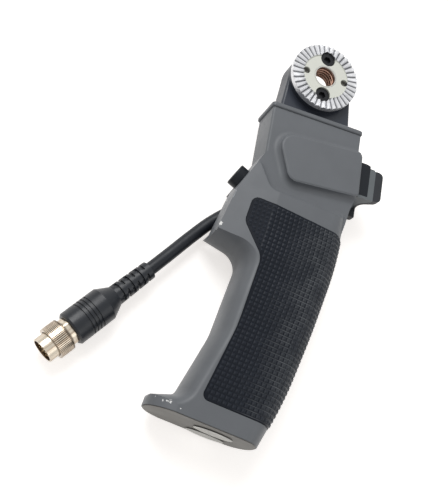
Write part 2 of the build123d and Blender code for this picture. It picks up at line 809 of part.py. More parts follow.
def screw_bores():
    """Bores for every screw that enters the housing."""
    bores = []
    reach = screw_seat_z + housing_screw_l + clearance_gap
    for place in housing_screw_places():
        bores.append(upright(screw_head[0] + clearance_gap, place, -overrun, screw_seat_z))
        bores.append(upright(screw_r + clearance_gap, place, -overrun, mid_z))
        bores.append(upright(screw_r + fuzz, place, mid_z - fuzz, reach))
    for place in neck_screw_places():
        bores.append(upright(screw_head[0] + clearance_gap, place, -overrun, screw_seat_z))
        bores.append(upright(screw_r + clearance_gap, place, -overrun, neck_top() - neck_plate_t))
    for x, y in board_screws:
        top = board_z[0] + board_screw_l + clearance_gap
        bores.append(grip_place() * rod(board_screw_r + fuzz, (x, y, -thin_overrun), (x, y, top)))
    return bores


def pin_bore():
    """Bore for the rocker's pin, closed at both ends."""
    return hinge_place() * rod(rocker_pin_r + fuzz, *pin_ends(seam_gap))


def pin_ends(extra):
    """Ends of the rocker's pin, each moved out by an extra, from the hinge's place."""
    high = drum_top_y + end_gap + pin_seat + extra
    low = drum_low_y - end_wall_t - end_gap - pin_seat - extra
    return (0, high, 0), (0, low, 0)


def pot_bore():
    """Hole in the rib for the potentiometer's bushing."""
    x = hinge_x - gear_distance()
    return rod(pot_bushing_r + seam_gap, (x, rib_high_y + thin_overrun, mid_z),
               (x, rib_high_y - rib_t - thin_overrun, mid_z))


def housing():
    """Near and far halves of the housing."""
    body = housing_form() - head_place() * head_rooms() - grip_place() * handle_room()
    base_cut = box_between((-overrun * 2, base_y - overrun, -overrun),
                           (overrun * 2, base_y + cap_t, overrun))
    body = body - grip_place() * base_cut - rubber_recess() - cord_pocket()
    body = body + (inner_ribs() & housing_form()) + switch_post()
    for cutter in [cord_hole(), button_rooms(), pin_bore(), pot_bore()] + screw_bores():
        body = body - cutter
    reach = -base_y + overrun
    high = box_between((-reach, -reach, mid_z + seam_gap / 2), (reach, overrun, overrun))
    low = box_between((-reach, -reach, -reach), (reach, overrun, mid_z - seam_gap / 2))
    return body & high, (body & low) + neck_pillars()


def base_cap():
    """Plate that closes the handle's base, with a spigot in its mouth."""
    blank = box_between((-overrun * 2, base_y - overrun, -overrun),
                        (overrun * 2, base_y + cap_t - seam_gap, overrun))
    plate = grip_form(cap_inset) & blank
    spigot = box_between((mouth_low_x + seam_gap, base_y + cap_t - seam_gap - fuzz, -mouth_half_t + seam_gap),
                         (mouth_high_x - seam_gap, base_y + cap_t + cap_spigot, mouth_half_t - seam_gap))
    return grip_place() * (plate + spigot)


def top_collar():
    """Collar that closes the head round the neck."""
    half_w, half_t = head_half_w + collar_over, head_half_t + collar_over
    low = head_top_y + seam_gap
    collar = box_between((head_x - half_w, low, mid_z - half_t),
                         (head_x + half_w, head_top_y + collar_t, mid_z + half_t))
    collar = fillet(collar.edges().filter_by(Axis.Y), collar_corner_r)
    rims = collar.edges().group_by(Axis.Y)
    collar = fillet(rims[0] + rims[-1], collar_edge_r)
    neck_low, neck_high = neck_x - neck_low_half_w, neck_x + neck_low_half_w
    top = neck_top()
    spigot = box_between((neck_low - collar_spigot_t, head_top_y - collar_spigot,
                          top - neck_depth - collar_spigot_t + seam_gap),
                         (neck_high + collar_spigot_t, low + fuzz, top + collar_spigot_t - seam_gap))
    hole = box_between((neck_low - seam_gap, head_top_y - overrun, top - neck_depth - seam_gap),
                       (neck_high + seam_gap, overrun, top + seam_gap))
    return collar + spigot - hole


def saddle_outline(reach, low_x):
    """Corners of an outline across the rocker, between its low side and its concave outer side."""
    near, middle, far = reach
    flat_z = horn_half_z - horn_flat
    return ((low_x, horn_half_z), (near, horn_half_z), (near, flat_z), (middle, saddle_half_z),
            (middle, -saddle_half_z), (far, -flat_z), (far, -horn_half_z), (low_x, -horn_half_z))


def saddle_prism(reach, low_x, high_y, low_y):
    """Prism along the rocker of its saddle outline, on the hinge."""
    radii = (0, 0, 0, saddle_r, saddle_r, 0, 0, 0)
    return hinge_place() * cross_prism(saddle_outline(reach, low_x), radii, high_y, low_y)


def rocker_corner():
    """Cutter for the rounded upper corner of the rocker, seen along Z."""
    low_x, low_y = corner_reach - corner_r, drum_top_y - corner_r
    left, low = low_x - thin_overrun, low_y - thin_overrun
    kept = rounded_face(((left, low), (corner_reach, low), (corner_reach, drum_top_y), (left, drum_top_y)),
                        (0, 0, corner_r, 0))
    blank = box_between((low_x, low_y, -overrun), (overrun, overrun, overrun))
    return hinge_place() * (blank - slab(kept, -overrun, overrun))


def drum_sector():
    """Drum between its two end angles, with the hub, before it is hollowed."""
    turn = math.radians(drum_half_angle)
    x, z = overrun * math.cos(turn), overrun * math.sin(turn)
    wedge = cross_prism(((0, 0), (x, z), (overrun * 2, z), (overrun * 2, -z), (x, -z)),
                        (0, 0, 0, 0, 0), drum_top_y, drum_low_y)
    drum = rod(drum_r, (0, drum_top_y, 0), (0, drum_low_y, 0)) & wedge
    hub = rod(hub_r, (0, drum_top_y, 0), (0, drum_low_y - end_wall_t, 0))
    return hinge_place() * (drum + hub)


def rocker_body():
    """Black body of the rocker, a drum with a hub and a block that carries the seat."""
    core = drum_sector() & saddle_prism(block_reach, -overrun, drum_top_y, drum_low_y - overrun)
    body = core + saddle_prism(block_reach, block_low_x, drum_top_y, drum_low_y) - rocker_corner()
    hollow = rod(drum_r - drum_wall, (0, drum_top_y - drum_wall, 0), (0, drum_low_y + drum_wall, 0))
    hollow = hollow & box_between((-overrun, -overrun * 2, -overrun),
                                  (block_reach[1] - drum_wall, 0, overrun))
    hub = rod(hub_r, (0, drum_top_y, 0), (0, drum_low_y - end_wall_t, 0))
    body = body - hinge_place() * (hollow - hub)
    reach, half_h = rocker_tab
    tab = box_between((-reach, tab_high_y - tab_l, -half_h), (fuzz - rocker_pin_r, tab_high_y, half_h))
    body = body + hinge_place() * tab
    bore = rod(rocker_pin_r + running_gap, (0, overrun, 0), (0, -overrun * 2, 0))
    return body - hinge_place() * bore


def rocker_seat():
    """Grey saddle between the rocker's body and its pad, closed by a wall at the lower end."""
    low_y = drum_low_y - end_wall_t
    seat = saddle_prism(seat_reach, seat_low_x, seat_top_y, low_y)
    seat = seat - saddle_prism(block_reach, block_low_x - overrun, seat_top_y + overrun, drum_low_y)
    return seat - rocker_corner()


def rocker_pad():
    """Dark pad over the rocker's saddle, with a raised horn at each side and a lobe at the far one."""
    low_y = drum_low_y - end_wall_t
    pad = saddle_prism(pad_reach, seat_low_x, pad_top_y, low_y)
    pad = pad - saddle_prism(seat_reach, seat_low_x - overrun, pad_top_y + overrun, low_y - overrun)
    lobe = saddle_prism(pad_reach, lobe_low_x, low_y + fuzz, lobe_low_y)
    lobe = lobe & hinge_place() * box_between((0, lobe_low_y - overrun, -horn_half_z - thin_overrun),
                                              (overrun, low_y, lobe_high_z))
    pad = pad + lobe
    for reach, radius in ((pad_reach[0], pad_corner_r[0]), (pad_reach[2], pad_corner_r[1])):
        ends = [e for e in pad.edges().filter_by(Axis.Z) if abs(e.center().X - hinge_x - reach) < fuzz]
        pad = fillet(ends, radius)
    return pad


def rocker_pin():
    """Steel pin on which the rocker swings."""
    return hinge_place() * rod(rocker_pin_r, *pin_ends(0))


def centering_spring():
    """Flat hairpin round the rocker's hub, its legs on both sides of the tab and the post."""
    plane = Plane((0, tab_high_y, 0), x_dir=(1, 0, 0), z_dir=(0, -1, 0))
    low = tab_high_y - tab_l
    inner_r = hairpin_r - hairpin_t
    leg_z = hairpin_gap + hairpin_t
    ring = rod(hairpin_r, (0, tab_high_y, 0), (0, low, 0))
    legs = box_between((-hairpin_reach, low, -leg_z), (0, tab_high_y, leg_z))
    inner = rod(inner_r, (0, overrun, 0), (0, -overrun * 2, 0))
    gap = box_between((-overrun, -overrun * 2, -hairpin_gap), (0, overrun, hairpin_gap))
    return hinge_place() * (ring + legs - inner - gap)


def gear_distance():
    """Distance between the rocker's pin and the potentiometer's shaft."""
    return gear_module * (sector_teeth + pinion_teeth) / 2


def involute(angle):
    """Involute function of an angle in radians."""
    return math.tan(angle) - angle


def flank(teeth):
    """Radii and half angles of one tooth from its root to its tip."""
    pitch_r = gear_module * teeth / 2
    pressure = math.radians(pressure_angle)
    base_r = pitch_r * math.cos(pressure)
    root_r = pitch_r - gear_module * dedendum_share
    tip_r = pitch_r + gear_module
    half = math.pi / teeth / 2 - gear_backlash / pitch_r / 4
    start_r = max(base_r, root_r)
    points = [(root_r, half + involute(pressure) - involute(math.acos(min(base_r / start_r, 1))))]
    for step in range(gear_steps + 1):
        radius = start_r + (tip_r - start_r) * step / gear_steps
        angle = half + involute(pressure) - involute(math.acos(min(base_r / radius, 1)))
        points.append((radius, angle))
    return points


def tooth_points(teeth, middle):
    """Outline of one tooth from root to root round a middle angle."""
    side = flank(teeth)
    turns = [(r, middle - a) for r, a in side] + [(r, middle + a) for r, a in reversed(side)]
    return [(r * math.cos(a), r * math.sin(a)) for r, a in turns]


def drop_repeats(points):
    """Points without those that lie on the one before."""
    kept = []
    for point in points:
        if not kept or math.dist(kept[-1], point) > fuzz:
            kept.append(point)
    return kept


def sector_gear():
    """Sector of a gear on the rocker's hub, toward the potentiometer."""
    pitch = math.tau / sector_teeth
    points = [(0, 0)]
    for i in range(sector_shown):
        middle = math.pi + (i - (sector_shown - 1) / 2) * pitch
        points += tooth_points(sector_teeth, middle)
    points = drop_repeats(points)
    low_y = gear_high_y - gear_t
    plate = cross_prism(points, [0] * len(points), gear_high_y, low_y)
    plate = plate + rod(hub_r + sector_ring_t, (0, gear_high_y, 0), (0, low_y, 0))
    return hinge_place() * (plate - rod(hub_r, (0, overrun, 0), (0, -overrun * 2, 0)))


def pinion():
    """Pinion on the potentiometer's shaft."""
    pitch = math.tau / pinion_teeth
    points = []
    for i in range(pinion_teeth):
        points += tooth_points(pinion_teeth, (i + 1 / 2) * pitch)
    points = drop_repeats(points)
    gear = cross_prism(points, [0] * len(points), gear_high_y, gear_high_y - gear_t)
    end_y = rib_high_y - rib_t - pot_shaft_end
    gear = gear + rod(pot_shaft_r, (0, gear_high_y, 0), (0, end_y, 0))
    return pot_place() * gear


def pot_place():
    """Frame whose origin is on the potentiometer's shaft, in the part's directions."""
    return Location((hinge_x - gear_distance(), 0, mid_z))


def pot_body():
    """Potentiometer with its bushing through the rib and three terminals."""
    high = rib_high_y - rib_t
    body = rod(pot_r, (0, high, 0), (0, high - pot_l, 0))
    body = body + rod(pot_bushing_r, (0, high + pot_bushing_l, 0), (0, high, 0))
    body = body - rod(pot_shaft_r + running_gap, (0, overrun, 0), (0, high - pot_shaft_end - seam_gap, 0))
    width, thick, length = pot_terminal
    for i in range(terminal_count):
        x = (i - (terminal_count - 1) / 2) * pot_terminal_pitch - width / 2
        y = high - pot_l - length
        body = body + box_between((x, y, -thick / 2), (x + width, high - pot_l + fuzz, thick / 2))
    return pot_place() * body


def pot_nut_ring():
    """Hexagon nut that holds the potentiometer to the rib."""
    radius, thick = pot_nut
    plane = Plane((0, rib_high_y + seam_gap + thick, 0), x_dir=(1, 0, 0), z_dir=(0, -1, 0))
    nut = extrude(plane * polygon_face(radius, 6), thick)
    return pot_place() * (nut - rod(pot_bushing_r + fuzz, (0, overrun, 0), (0, -overrun * 2, 0)))


def record_button():
    """Record button with its skirt and stem."""
    skirt_out = -slope_wall - seam_gap
    skirt_in = skirt_out - skirt_t
    cap = rod_along(button_r, skirt_in, button_proud)
    rim = [e for e in cap.edges() if abs(e.center().X - button_proud) < fuzz]
    cap = fillet(rim, button_edge_r)
    return button_place() * (cap + rod_along(skirt_r, skirt_in, skirt_out)
                             + rod_along(stem_r, skirt_in - stem_l, skirt_in))


def button_guide():
    """Disc behind the button that guides its stem."""
    guide = rod_along(guide_r, guide_out - guide_t, guide_out)
    guide = guide + rod_along(guide_collar[0], guide_out, guide_out + guide_collar[1])
    return button_place() * (guide - rod_along(stem_r + running_gap, -overrun, overrun))


def button_spring():
    """Coil that pushes the button out."""
    low_x = guide_out + coil_wire_r
    high_x = -slope_wall - seam_gap - skirt_t - coil_wire_r
    height = high_x - low_x
    path = Helix(height / coil_turns, height, coil_r)
    start = path @ 0
    section = Plane(origin=start, z_dir=path % 0) * Circle(coil_wire_r)
    coil = sweep(section, path)
    return button_place() * Pos(low_x, 0, 0) * Rot(0, 90, 0) * coil


def record_switch():
    """Switch that the button's stem presses at the end of its travel."""
    far_x = switch_out - switch_l
    body = box_between((far_x, -switch_w / 2, -switch_h / 2), (switch_out, switch_w / 2, switch_h / 2))
    body = body + rod_along(switch_plunger[0], switch_out, switch_out + switch_plunger[1])
    width, thick, length = switch_legs
    for i in range(terminal_count):
        y = (i - (terminal_count - 1) / 2) * switch_leg_pitch - width / 2
        body = body + box_between((far_x - length, y, -thick / 2), (far_x + fuzz, y + width, thick / 2))
    return button_place() * body


def circuit_board():
    """Printed board in the handle."""
    board = box_between((board_x[0], board_y[0], board_z[0]), (board_x[1], board_y[1], board_z[1]))
    for x, y in board_screws:
        board = board - rod(board_screw_r + clearance_gap, (x, y, -overrun), (x, y, overrun))
    return grip_place() * board


def board_fixings():
    """Screws that hold the board to its bosses."""
    screw = cap_screw(board_screw_head, board_screw_hex, board_screw_r, board_screw_l)
    return [grip_place() * Pos(x, y, board_z[0]) * screw for x, y in board_screws]


def on_board(size, place):
    """Block on the board's free side at a place in the handle's frame."""
    length, width, height = size
    x, y = place
    return box_between((x - length / 2, y - width / 2, board_z[0] - height),
                       (x + length / 2, y + width / 2, board_z[0]))


def board_header():
    """Header on the board for the cord's wires, open at its free side."""
    length, width, height = header_size
    inner = (length - header_cavity_wall * 2, width - header_cavity_wall * 2, height)
    cavity = Pos(0, 0, -header_cavity_wall) * on_board(inner, header_place)
    return grip_place() * (on_board(header_size, header_place) - cavity)


def control_chip():
    """Chip on the board."""
    return grip_place() * on_board(chip_size, chip_place)


def cord_gland():
    """Bush that holds the cord in the wall of the far half."""
    flange_w, flange_t = gland_flange
    neck_w, neck_out = gland_neck
    body = rod_along(gland_r, -gland_in, fuzz) + rod_along(flange_w, 0, flange_t)
    body = body + rod_along(neck_w, flange_t, neck_out)
    return cord_place() * (body - rod_along(cord_r + fuzz, -overrun, overrun))


def cord_route():
    """Corner points of the cord's middle line, from its tail to its end in the plug."""
    tail = cord_place() * Pos(-tail_in, 0, 0)
    first = cord_place() * Pos(cord_first_bend, 0, 0)
    last = plug_place() * Pos(-cord_last_bend, 0, 0)
    end = plug_place() * Pos(cord_in_plug, 0, 0)
    return [tail.position, first.position, Vector(*cord_middle), last.position, end.position]


def cord():
    """Cord from the gland to the plug, along straight runs joined by tangent arcs."""
    points = cord_route()
    runs = [(b - a).length for a, b in zip(points, points[1:])]
    radii = []
    for i in range(1, len(points) - 1):
        turn = (points[i] - points[i - 1]).get_angle(points[i + 1] - points[i])
        shorter = min(runs[i - 1], runs[i])
        radii.append(bend_share * shorter / math.tan(math.radians(turn) / 2))
    path = FilletPolyline(*points, radius=radii)
    section = Plane(origin=points[0], z_dir=points[1] - points[0]) * Circle(cord_r)
    tube = sweep(section, path)
    print("cord bend radii, mm:", [round(r, 1) for r in radii])
    print("cord volume, mm3:", round(tube.volume, 1), "against section by length:",
          round(math.pi * cord_r ** 2 * path.length, 1))
    return tube


def turned(points):
    """Solid of revolution about the x axis of an outline in x and radius."""
    face = Plane.XY * rounded_face(points, [0] * len(points))
    return revolve(face, Axis.X, 360)


def grooved(start, radius, grooves, first, pitch, count):
    """Outline points along a round piece with square grooves, from a start along x."""
    width, depth = grooves
    points = []
    for i in range(count):
        low = start + first + pitch * i
        high = low + width
        points += [(low, radius), (low, radius - depth), (high, radius - depth), (high, radius)]
    return points


def relief_slots():
    """Slots round the strain relief, two to a ring, each ring a quarter turn from the one before."""
    width, depth = relief_groove
    low_r, high_r = relief_r
    slots = []
    for i in range(relief_groove_count):
        low = relief_first_groove + relief_groove_pitch * i
        floor_r = low_r + (high_r - low_r) * low / relief_l - depth
        ring = rod_along(high_r + thin_overrun, low, low + width) - rod_along(floor_r, low, low + width)
        web = box_between((low, -relief_web / 2, -overrun), (low + width, relief_web / 2, overrun))
        slots.append(Rot(90 * (i % 2), 0, 0) * (ring - web))
    return slots


def plug_boot():
    """Moulded boot of the plug with its ribbed strain relief."""
    low_r, high_r = relief_r
    boot_x = relief_l + cone_l
    end_x = boot_x + boot_l
    points = [(0, 0), (0, low_r), (relief_l, high_r), (boot_x, boot_r)]
    points += grooved(boot_x, boot_r, boot_groove, boot_first_groove, boot_groove_pitch, boot_groove_count)
    points += [(end_x - boot_edge, boot_r), (end_x, boot_r - boot_edge), (end_x, 0)]
    body = turned(points).cut(*relief_slots())
    bore = rod_along(cord_r + plug_bore_gap, -thin_overrun, cord_in_plug + plug_bore_gap)
    return plug_place() * (body - bore)


def flange_start():
    """Place along the plug where its flange begins."""
    return relief_l + cone_l + boot_l


def plug_flange():
    """Flange with flats between the boot and the coupling ring."""
    low = flange_start()
    body = rod_along(flange_r, low, low + flange_l)
    corner_r = flange_flat / math.cos(math.pi / 6)
    plane = Plane((low - thin_overrun, 0, 0), x_dir=(0, 1, 0), z_dir=(1, 0, 0))
    hexagon = extrude(plane * polygon_face(corner_r, 6), flange_l + thin_overrun * 2)
    return plug_place() * (body & hexagon)


def coupling_ring():
    """Knurled ring that turns on the plug's shell."""
    low = flange_start() + flange_l + ring_gap
    ring = rod_along(ring_r, low, low + ring_l)
    points = []
    for i in range(ring_knurls * 2):
        radius = ring_r + thin_overrun * (1 - i % 2) - knurl_depth * (i % 2)
        turn = math.tau * i / ring_knurls / 2
        points.append((radius * math.cos(turn), radius * math.sin(turn)))
    plane = Plane((low, 0, 0), x_dir=(0, 1, 0), z_dir=(1, 0, 0))
    star = extrude(plane * rounded_face(points, [0] * len(points)), ring_l)
    plain = rod_along(ring_r, low, low + ring_plain)
    plain = plain + rod_along(ring_r, low + ring_l - ring_plain, low + ring_l)
    ring = (ring & star) + plain
    ring = ring - rod_along(ring_bore_r, low + ring_lip_l, low + overrun)
    return plug_place() * (ring - rod_along(ring_lip_r, low - thin_overrun, low + overrun))


def plug_shell():
    """Metal shell of the plug, with a key groove inside its rim."""
    low = flange_start() + flange_l
    shell = rod_along(shell_r, low, low + shell_l)
    shell = shell - rod_along(shell_r - shell_wall, low - thin_overrun, low + shell_l + thin_overrun)
    width, depth = key_groove
    high_z = shell_r - shell_wall + depth
    key = box_between((low + shell_l - insert_drop, -width / 2, 0),
                      (low + shell_l + thin_overrun, width / 2, high_z))
    return plug_place() * (shell - key)


def plug_insert():
    """Insulating insert that holds the contacts."""
    low = flange_start() + flange_l
    high = low + shell_l - insert_drop
    insert = rod_along(shell_r - shell_wall - insert_gap, low, high)
    for place in contact_places():
        insert = insert - Pos(0, *place) * rod_along(contact_r + fuzz, high - contact_seat, high + thin_overrun)
    return plug_place() * insert


def contact_places():
    """Places of the contacts across the plug's axis."""
    places = []
    for radius, count in contact_rings:
        for i in range(count):
            turn = math.tau * i / count
            places.append((radius * math.cos(turn), radius * math.sin(turn)))
    return places


def contact_pins():
    """Contacts that stand in the plug's insert."""
    face = flange_start() + flange_l + shell_l - insert_drop
    pin = rod_along(contact_r, face - contact_seat, face + contact_l)
    return [plug_place() * Pos(0, y, z) * pin for y, z in contact_places()]


def export_node(name, shape):
    """Write one named node, a single piece or several alike."""
    if isinstance(shape, list):
        shape = Compound(children=shape)
    export_step(shape, os.path.join("parts", name + ".step"))


near_half, far_half = housing()
nodes = {
    "near_shell": near_half,
    "far_shell": far_half,
    "top_collar": top_collar(),
    "base_cap": base_cap(),
    "rubber_grip": rubber_grip(),
    "neck_bracket": neck_bracket(),
    "rosette_disc": rosette_disc(),
    "thread_insert": thread_insert(),
    "rosette_screws": rosette_screws(),
    "neck_screws": neck_screws(),
    "housing_screws": joining_screws(),
    "rocker_pin": rocker_pin(),
    "centering_spring": centering_spring(),
    "rocker_body": rocker_body(),
    "rocker_seat": rocker_seat(),
    "rocker_pad": rocker_pad(),
    "sector_gear": sector_gear(),
    "pinion": pinion(),
    "potentiometer": pot_body(),
    "potentiometer_nut": pot_nut_ring(),
    "record_button": record_button(),
    "button_guide": button_guide(),
    "button_spring": button_spring(),
    "record_switch": record_switch(),
    "circuit_board": circuit_board(),
    "board_screws": board_fixings(),
    "board_header": board_header(),
    "control_chip": control_chip(),
    "cord_gland": cord_gland(),
    "cord": cord(),
    "plug_boot": plug_boot(),
    "plug_flange": plug_flange(),
    "coupling_ring": coupling_ring(),
    "plug_shell": plug_shell(),
    "plug_insert": plug_insert(),
    "contact_pins": contact_pins(),
}
for node_name, node_shape in nodes.items():
    export_node(node_name, node_shape)
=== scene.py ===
import bmesh
import bpy
import math
from bpy.props import FloatProperty, FloatVectorProperty, IntProperty, PointerProperty
from mathutils import Matrix, Vector


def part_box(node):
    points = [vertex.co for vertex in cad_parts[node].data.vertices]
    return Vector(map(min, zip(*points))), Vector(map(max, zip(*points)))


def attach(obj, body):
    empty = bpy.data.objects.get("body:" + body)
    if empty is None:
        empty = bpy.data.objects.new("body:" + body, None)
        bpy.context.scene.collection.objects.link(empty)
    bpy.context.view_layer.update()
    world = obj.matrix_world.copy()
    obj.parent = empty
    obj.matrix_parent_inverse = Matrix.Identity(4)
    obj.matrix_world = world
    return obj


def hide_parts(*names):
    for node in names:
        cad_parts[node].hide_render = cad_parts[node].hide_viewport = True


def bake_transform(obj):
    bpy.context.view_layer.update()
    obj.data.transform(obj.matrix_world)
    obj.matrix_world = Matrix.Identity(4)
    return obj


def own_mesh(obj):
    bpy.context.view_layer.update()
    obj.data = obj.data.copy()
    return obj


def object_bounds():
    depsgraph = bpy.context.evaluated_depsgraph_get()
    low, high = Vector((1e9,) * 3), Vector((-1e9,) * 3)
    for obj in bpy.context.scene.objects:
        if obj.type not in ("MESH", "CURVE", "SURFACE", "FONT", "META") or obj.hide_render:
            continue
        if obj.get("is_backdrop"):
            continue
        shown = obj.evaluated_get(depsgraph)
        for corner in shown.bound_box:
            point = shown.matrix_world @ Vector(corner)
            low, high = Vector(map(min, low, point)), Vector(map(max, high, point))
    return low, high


# Looks of the pistol-grip zoom controller over its CAD frame.
# Sizes are in metres, in the frame's own place: +Z along the rosette's axis, +Y up the head.

bl_info = {
    "name": "Zoom Grip Looks",
    "version": (1, 0, 0),
    "blender": (4, 5, 0),
    "location": "View3D > Sidebar > Zoom Grip",
    "description": "Finishes, rubber studs, cord and studio for the zoom grip's CAD frame",
    "category": "Object",
}

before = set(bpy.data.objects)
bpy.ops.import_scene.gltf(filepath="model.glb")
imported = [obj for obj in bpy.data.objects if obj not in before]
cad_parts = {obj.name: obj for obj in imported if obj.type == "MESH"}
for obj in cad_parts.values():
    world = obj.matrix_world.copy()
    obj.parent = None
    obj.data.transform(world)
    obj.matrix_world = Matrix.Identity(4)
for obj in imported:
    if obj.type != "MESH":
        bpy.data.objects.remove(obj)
cad_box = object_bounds()

# Handle's own frame, turned about Z on the split plane, its foot, and the surface it lies on.
GRIP_TURN = math.radians(-9.0)
MID_Z = -0.012
FOOT_Y = -0.165
TABLE_Z = cad_box[0].z

# Control points of the cord's middle line, from its tail in the gland to its end in the plug.
CORD_POINTS = (
    (-0.01987, -0.06288, -0.0186),
    (-0.03178, -0.07280, -0.0186),
    (-0.04190, -0.08530, -0.0193),
    (-0.05134, -0.09812, -0.0181),
    (-0.06120, -0.11060, -0.0181),
)

# Plug's own frame: where its boot begins, and the way that it points along its Z.
PLUG_MOUTH = (-0.0563, -0.1044, -0.0181)
PLUG_TURN = math.radians(231.7)

# Painted shade on the plug's flange: fading from the boot's end, and in the gap before the ring.
BOOT_END_PAINTED_SHADE = (0.0411, 0.0405)
RING_GAP_Z = 0.0432
RING_GAP_PAINTED_SHADE = (0.0010, 0.0004)

# Stretch of the rocker's hairpin, along X from its post to the rocker's tab, where its legs bend.
HAIRPIN_BEND = (0.0115, 0.0136)
HAIRPIN_CUTS = 7
MERGE_REACH = 0.000001

# Rosette: radii where the hub ends and the rim begins, and heights over which painted shade deepens
# in its valleys and holes.
HUB_EDGE = (0.01062, 0.01078)
RIM_EDGE = (0.01583, 0.01586)
VALLEY_SINK = (0.00002, -0.00040)
HOLE_SINK = (-0.0002, -0.0016)

# Threaded bush: its bore, the radii of a groove's sides over which painted shade grows, and heights
# of its silver mouth.
BUSH_BORE = 0.00476
GROOVE_EDGE = (0.00430, 0.00475)
MOUTH_SINK = (-0.00075, -0.00035)
INNER_SINK = (-0.0004, -0.0006)
THREAD_STEPS = 36              # round one turn
THREAD_FOOT_SHARE = 0.47       # of the pitch, each side of the ridge
THREAD_SINK = 0.00002          # of the ridge's foot into the bore

# Rosette's two screws: how far they stand from the bush along Y, and the knurled rim of a head.
SCREW_OFFSET = (0.0, 0.0092, 0.0)
SCREW_RIM = (0.00285, 0.00320)

# Studs: the lowest row along the handle, and a stud's shape as shares of the pitch.
STUD_ROW_Y = -0.1585
STUD_FOOT_SHARE = 0.66
STUD_TIP_SHARE = 0.16
STUD_HALF_SHARE = 0.47
STUD_SINK = 0.0001             # of a stud's foot into the rubber
STUDS_LEAST = 5000             # faces in all
STUD_ROWS_OVER = 8             # rows past the height of the pad's box, as the handle leans

# Rays that find the rubber: from how far, the sweep round the back, and the probe under a stud.
RAY_REACH = 0.06
BACK_DEPTH = 0.0065            # of the fan's middle under the back
FRONT_REACH = 0.014            # of the side rays past the handle's own axis
SECTION_STEP = 0.0004
BACK_FAN = 48                  # steps in half a turn
PROBE_LIFT = 0.004
PROBE_REACH = 0.0052
FACING_LEAST = 0.5             # cosine between a stud and the rubber under its corner

# Parts of a stud's two half widths that are tried at a corner, widest first.
CORNER_SHARES = ((1, 1), (1, 0.6), (0.6, 1), (0.6, 0.6), (1, 0.2), (0.2, 1), (0.2, 0.2))

# Rubber's dust with painted highlights along the lines between rows, and painted glints at the
# back, along X of the handle's frame: both grow from the first place on.
DUST_AND_HIGHLIGHT_LINE = (0.05, 0.09)       # of the pitch, from the middle of a line between rows
DUST_AND_HIGHLIGHT_BACK = (0.006, 0.021)
GLINT_BACK = (0.011, 0.021)

# Blank labels on the foot: name, place along the foot's X and Z, and half widths.
LABELS = (("base_label_near", (0.006, 0.0026), (0.0083, 0.0046)),
          ("base_label_far", (0.006, -0.0077), (0.0083, 0.0040)))
LABEL_THICKNESS = 0.00012
LABEL_EDGE = 0.00003

# Bare spots on the paint, each a place and a radius, and painted highlights along edges, each
# between two places.
LIP_CHIPS = (((-0.0313, -0.0676, -0.0111), 0.0007), ((-0.0347, -0.0820, -0.0021), 0.0013),
             ((-0.0356, -0.0849, -0.0030), 0.0009))
TOE_CHIPS = (((-0.0461, -0.1557, -0.0045), 0.0006), ((-0.0437, -0.1568, -0.0018), 0.0005),
             ((-0.0424, -0.1569, -0.0009), 0.0005), ((-0.0412, -0.1569, -0.0004), 0.0010),
             ((-0.0418, -0.1569, -0.0006), 0.0006), ((-0.0370, -0.1587, 0.0008), 0.0004))
LIP_EDGE_HIGHLIGHTS = (((-0.0306, -0.0660, -0.0019), (-0.0352, -0.0842, -0.0026), 0.00012),
            ((-0.0312, -0.0672, -0.0120), (-0.0357, -0.0850, -0.0122), 0.00034),
            ((-0.0354, -0.0850, -0.0030), (-0.0300, -0.0872, -0.0020), 0.00022))
EDGE_HIGHLIGHT_LIGHTENING = 2.6
SCUFF_LIGHTENING = 1.8

# Colours of painted shade, painted highlights and reflections, milling, plating and dust.
MILLED_GREY = (0.46, 0.47, 0.50, 1.0)
VALLEY_PAINTED_SHADE = (0.060, 0.063, 0.072, 1.0)
HOLE_PAINTED_SHADE = (0.12, 0.11, 0.10, 1.0)
GROOVE_PAINTED_SHADE = (0.055, 0.028, 0.020, 1.0)
MOUTH_SILVER = (0.50, 0.50, 0.47, 1.0)
RUBBER_PAINTED_GLINT = (0.042, 0.047, 0.054, 1.0)
RUBBER_DUST_AND_HIGHLIGHT = (0.125, 0.132, 0.142, 1.0)
PAINTED_REFLECTION_BANDS = (0.420, 0.330, 0.245, 1.0)
KNURL_PAINTED_SHADE = (0.200, 0.140, 0.090, 1.0)
FLANGE_PAINTED_SHADE = (0.080, 0.060, 0.042, 1.0)
HOLLOW_PAINTED_SHADE = (0.330, 0.235, 0.160, 1.0)

# Finishes of one colour that no setting changes: the colour, and what differs from the usual.
PLAIN_FINISHES = {
    # Painted light: the foot's paint is lighter and warmer than the body's grey, for bounce light
    # from the floor.
    "Base paint": ((0.195, 0.186, 0.170, 1.0), {"rough": (0.5, 0.6), "scuffs": 0.15}),
    "Black moulding": ((0.0095, 0.0125, 0.0170, 1.0), {
        "rough": (0.30, 0.42), "mottle": (120.0, 0.8), "specular": 0.22}),
    "Rocker pad": ((0.028, 0.031, 0.036, 1.0), {
        "rough": (0.4, 0.55), "mottle": (120.0, 0.85), "specular": 0.28}),
    "Rocker seat": ((0.125, 0.140, 0.148, 1.0), {"rough": (0.4, 0.5), "specular": 0.4}),
    "Pale moulding": ((0.70, 0.68, 0.60, 1.0), {"rough": (0.4, 0.5), "mottle": (200.0, 0.93)}),
    "Solder mask": ((0.012, 0.075, 0.030, 1.0), {"rough": (0.3, 0.42), "mottle": (350.0, 0.8)}),
    "Blank label": ((0.84, 0.82, 0.77, 1.0), {
        "rough": (0.5, 0.65), "mottle": (250.0, 0.85), "scuffs": 0.4,
        "scuff_colour": (0.30, 0.29, 0.27, 1.0)}),
}
PLAIN_METALS = {
    "Ground steel": ((0.55, 0.56, 0.57, 1.0), {"rough": (0.2, 0.3), "mottle": (300.0, 0.85)}),
    "Plated can": ((0.42, 0.42, 0.41, 1.0), {"rough": (0.25, 0.4), "mottle": (300.0, 0.8)}),
    "Gold plate": ((0.80, 0.56, 0.22, 1.0), {"rough": (0.15, 0.25), "mottle": (500.0, 0.9)}),
}

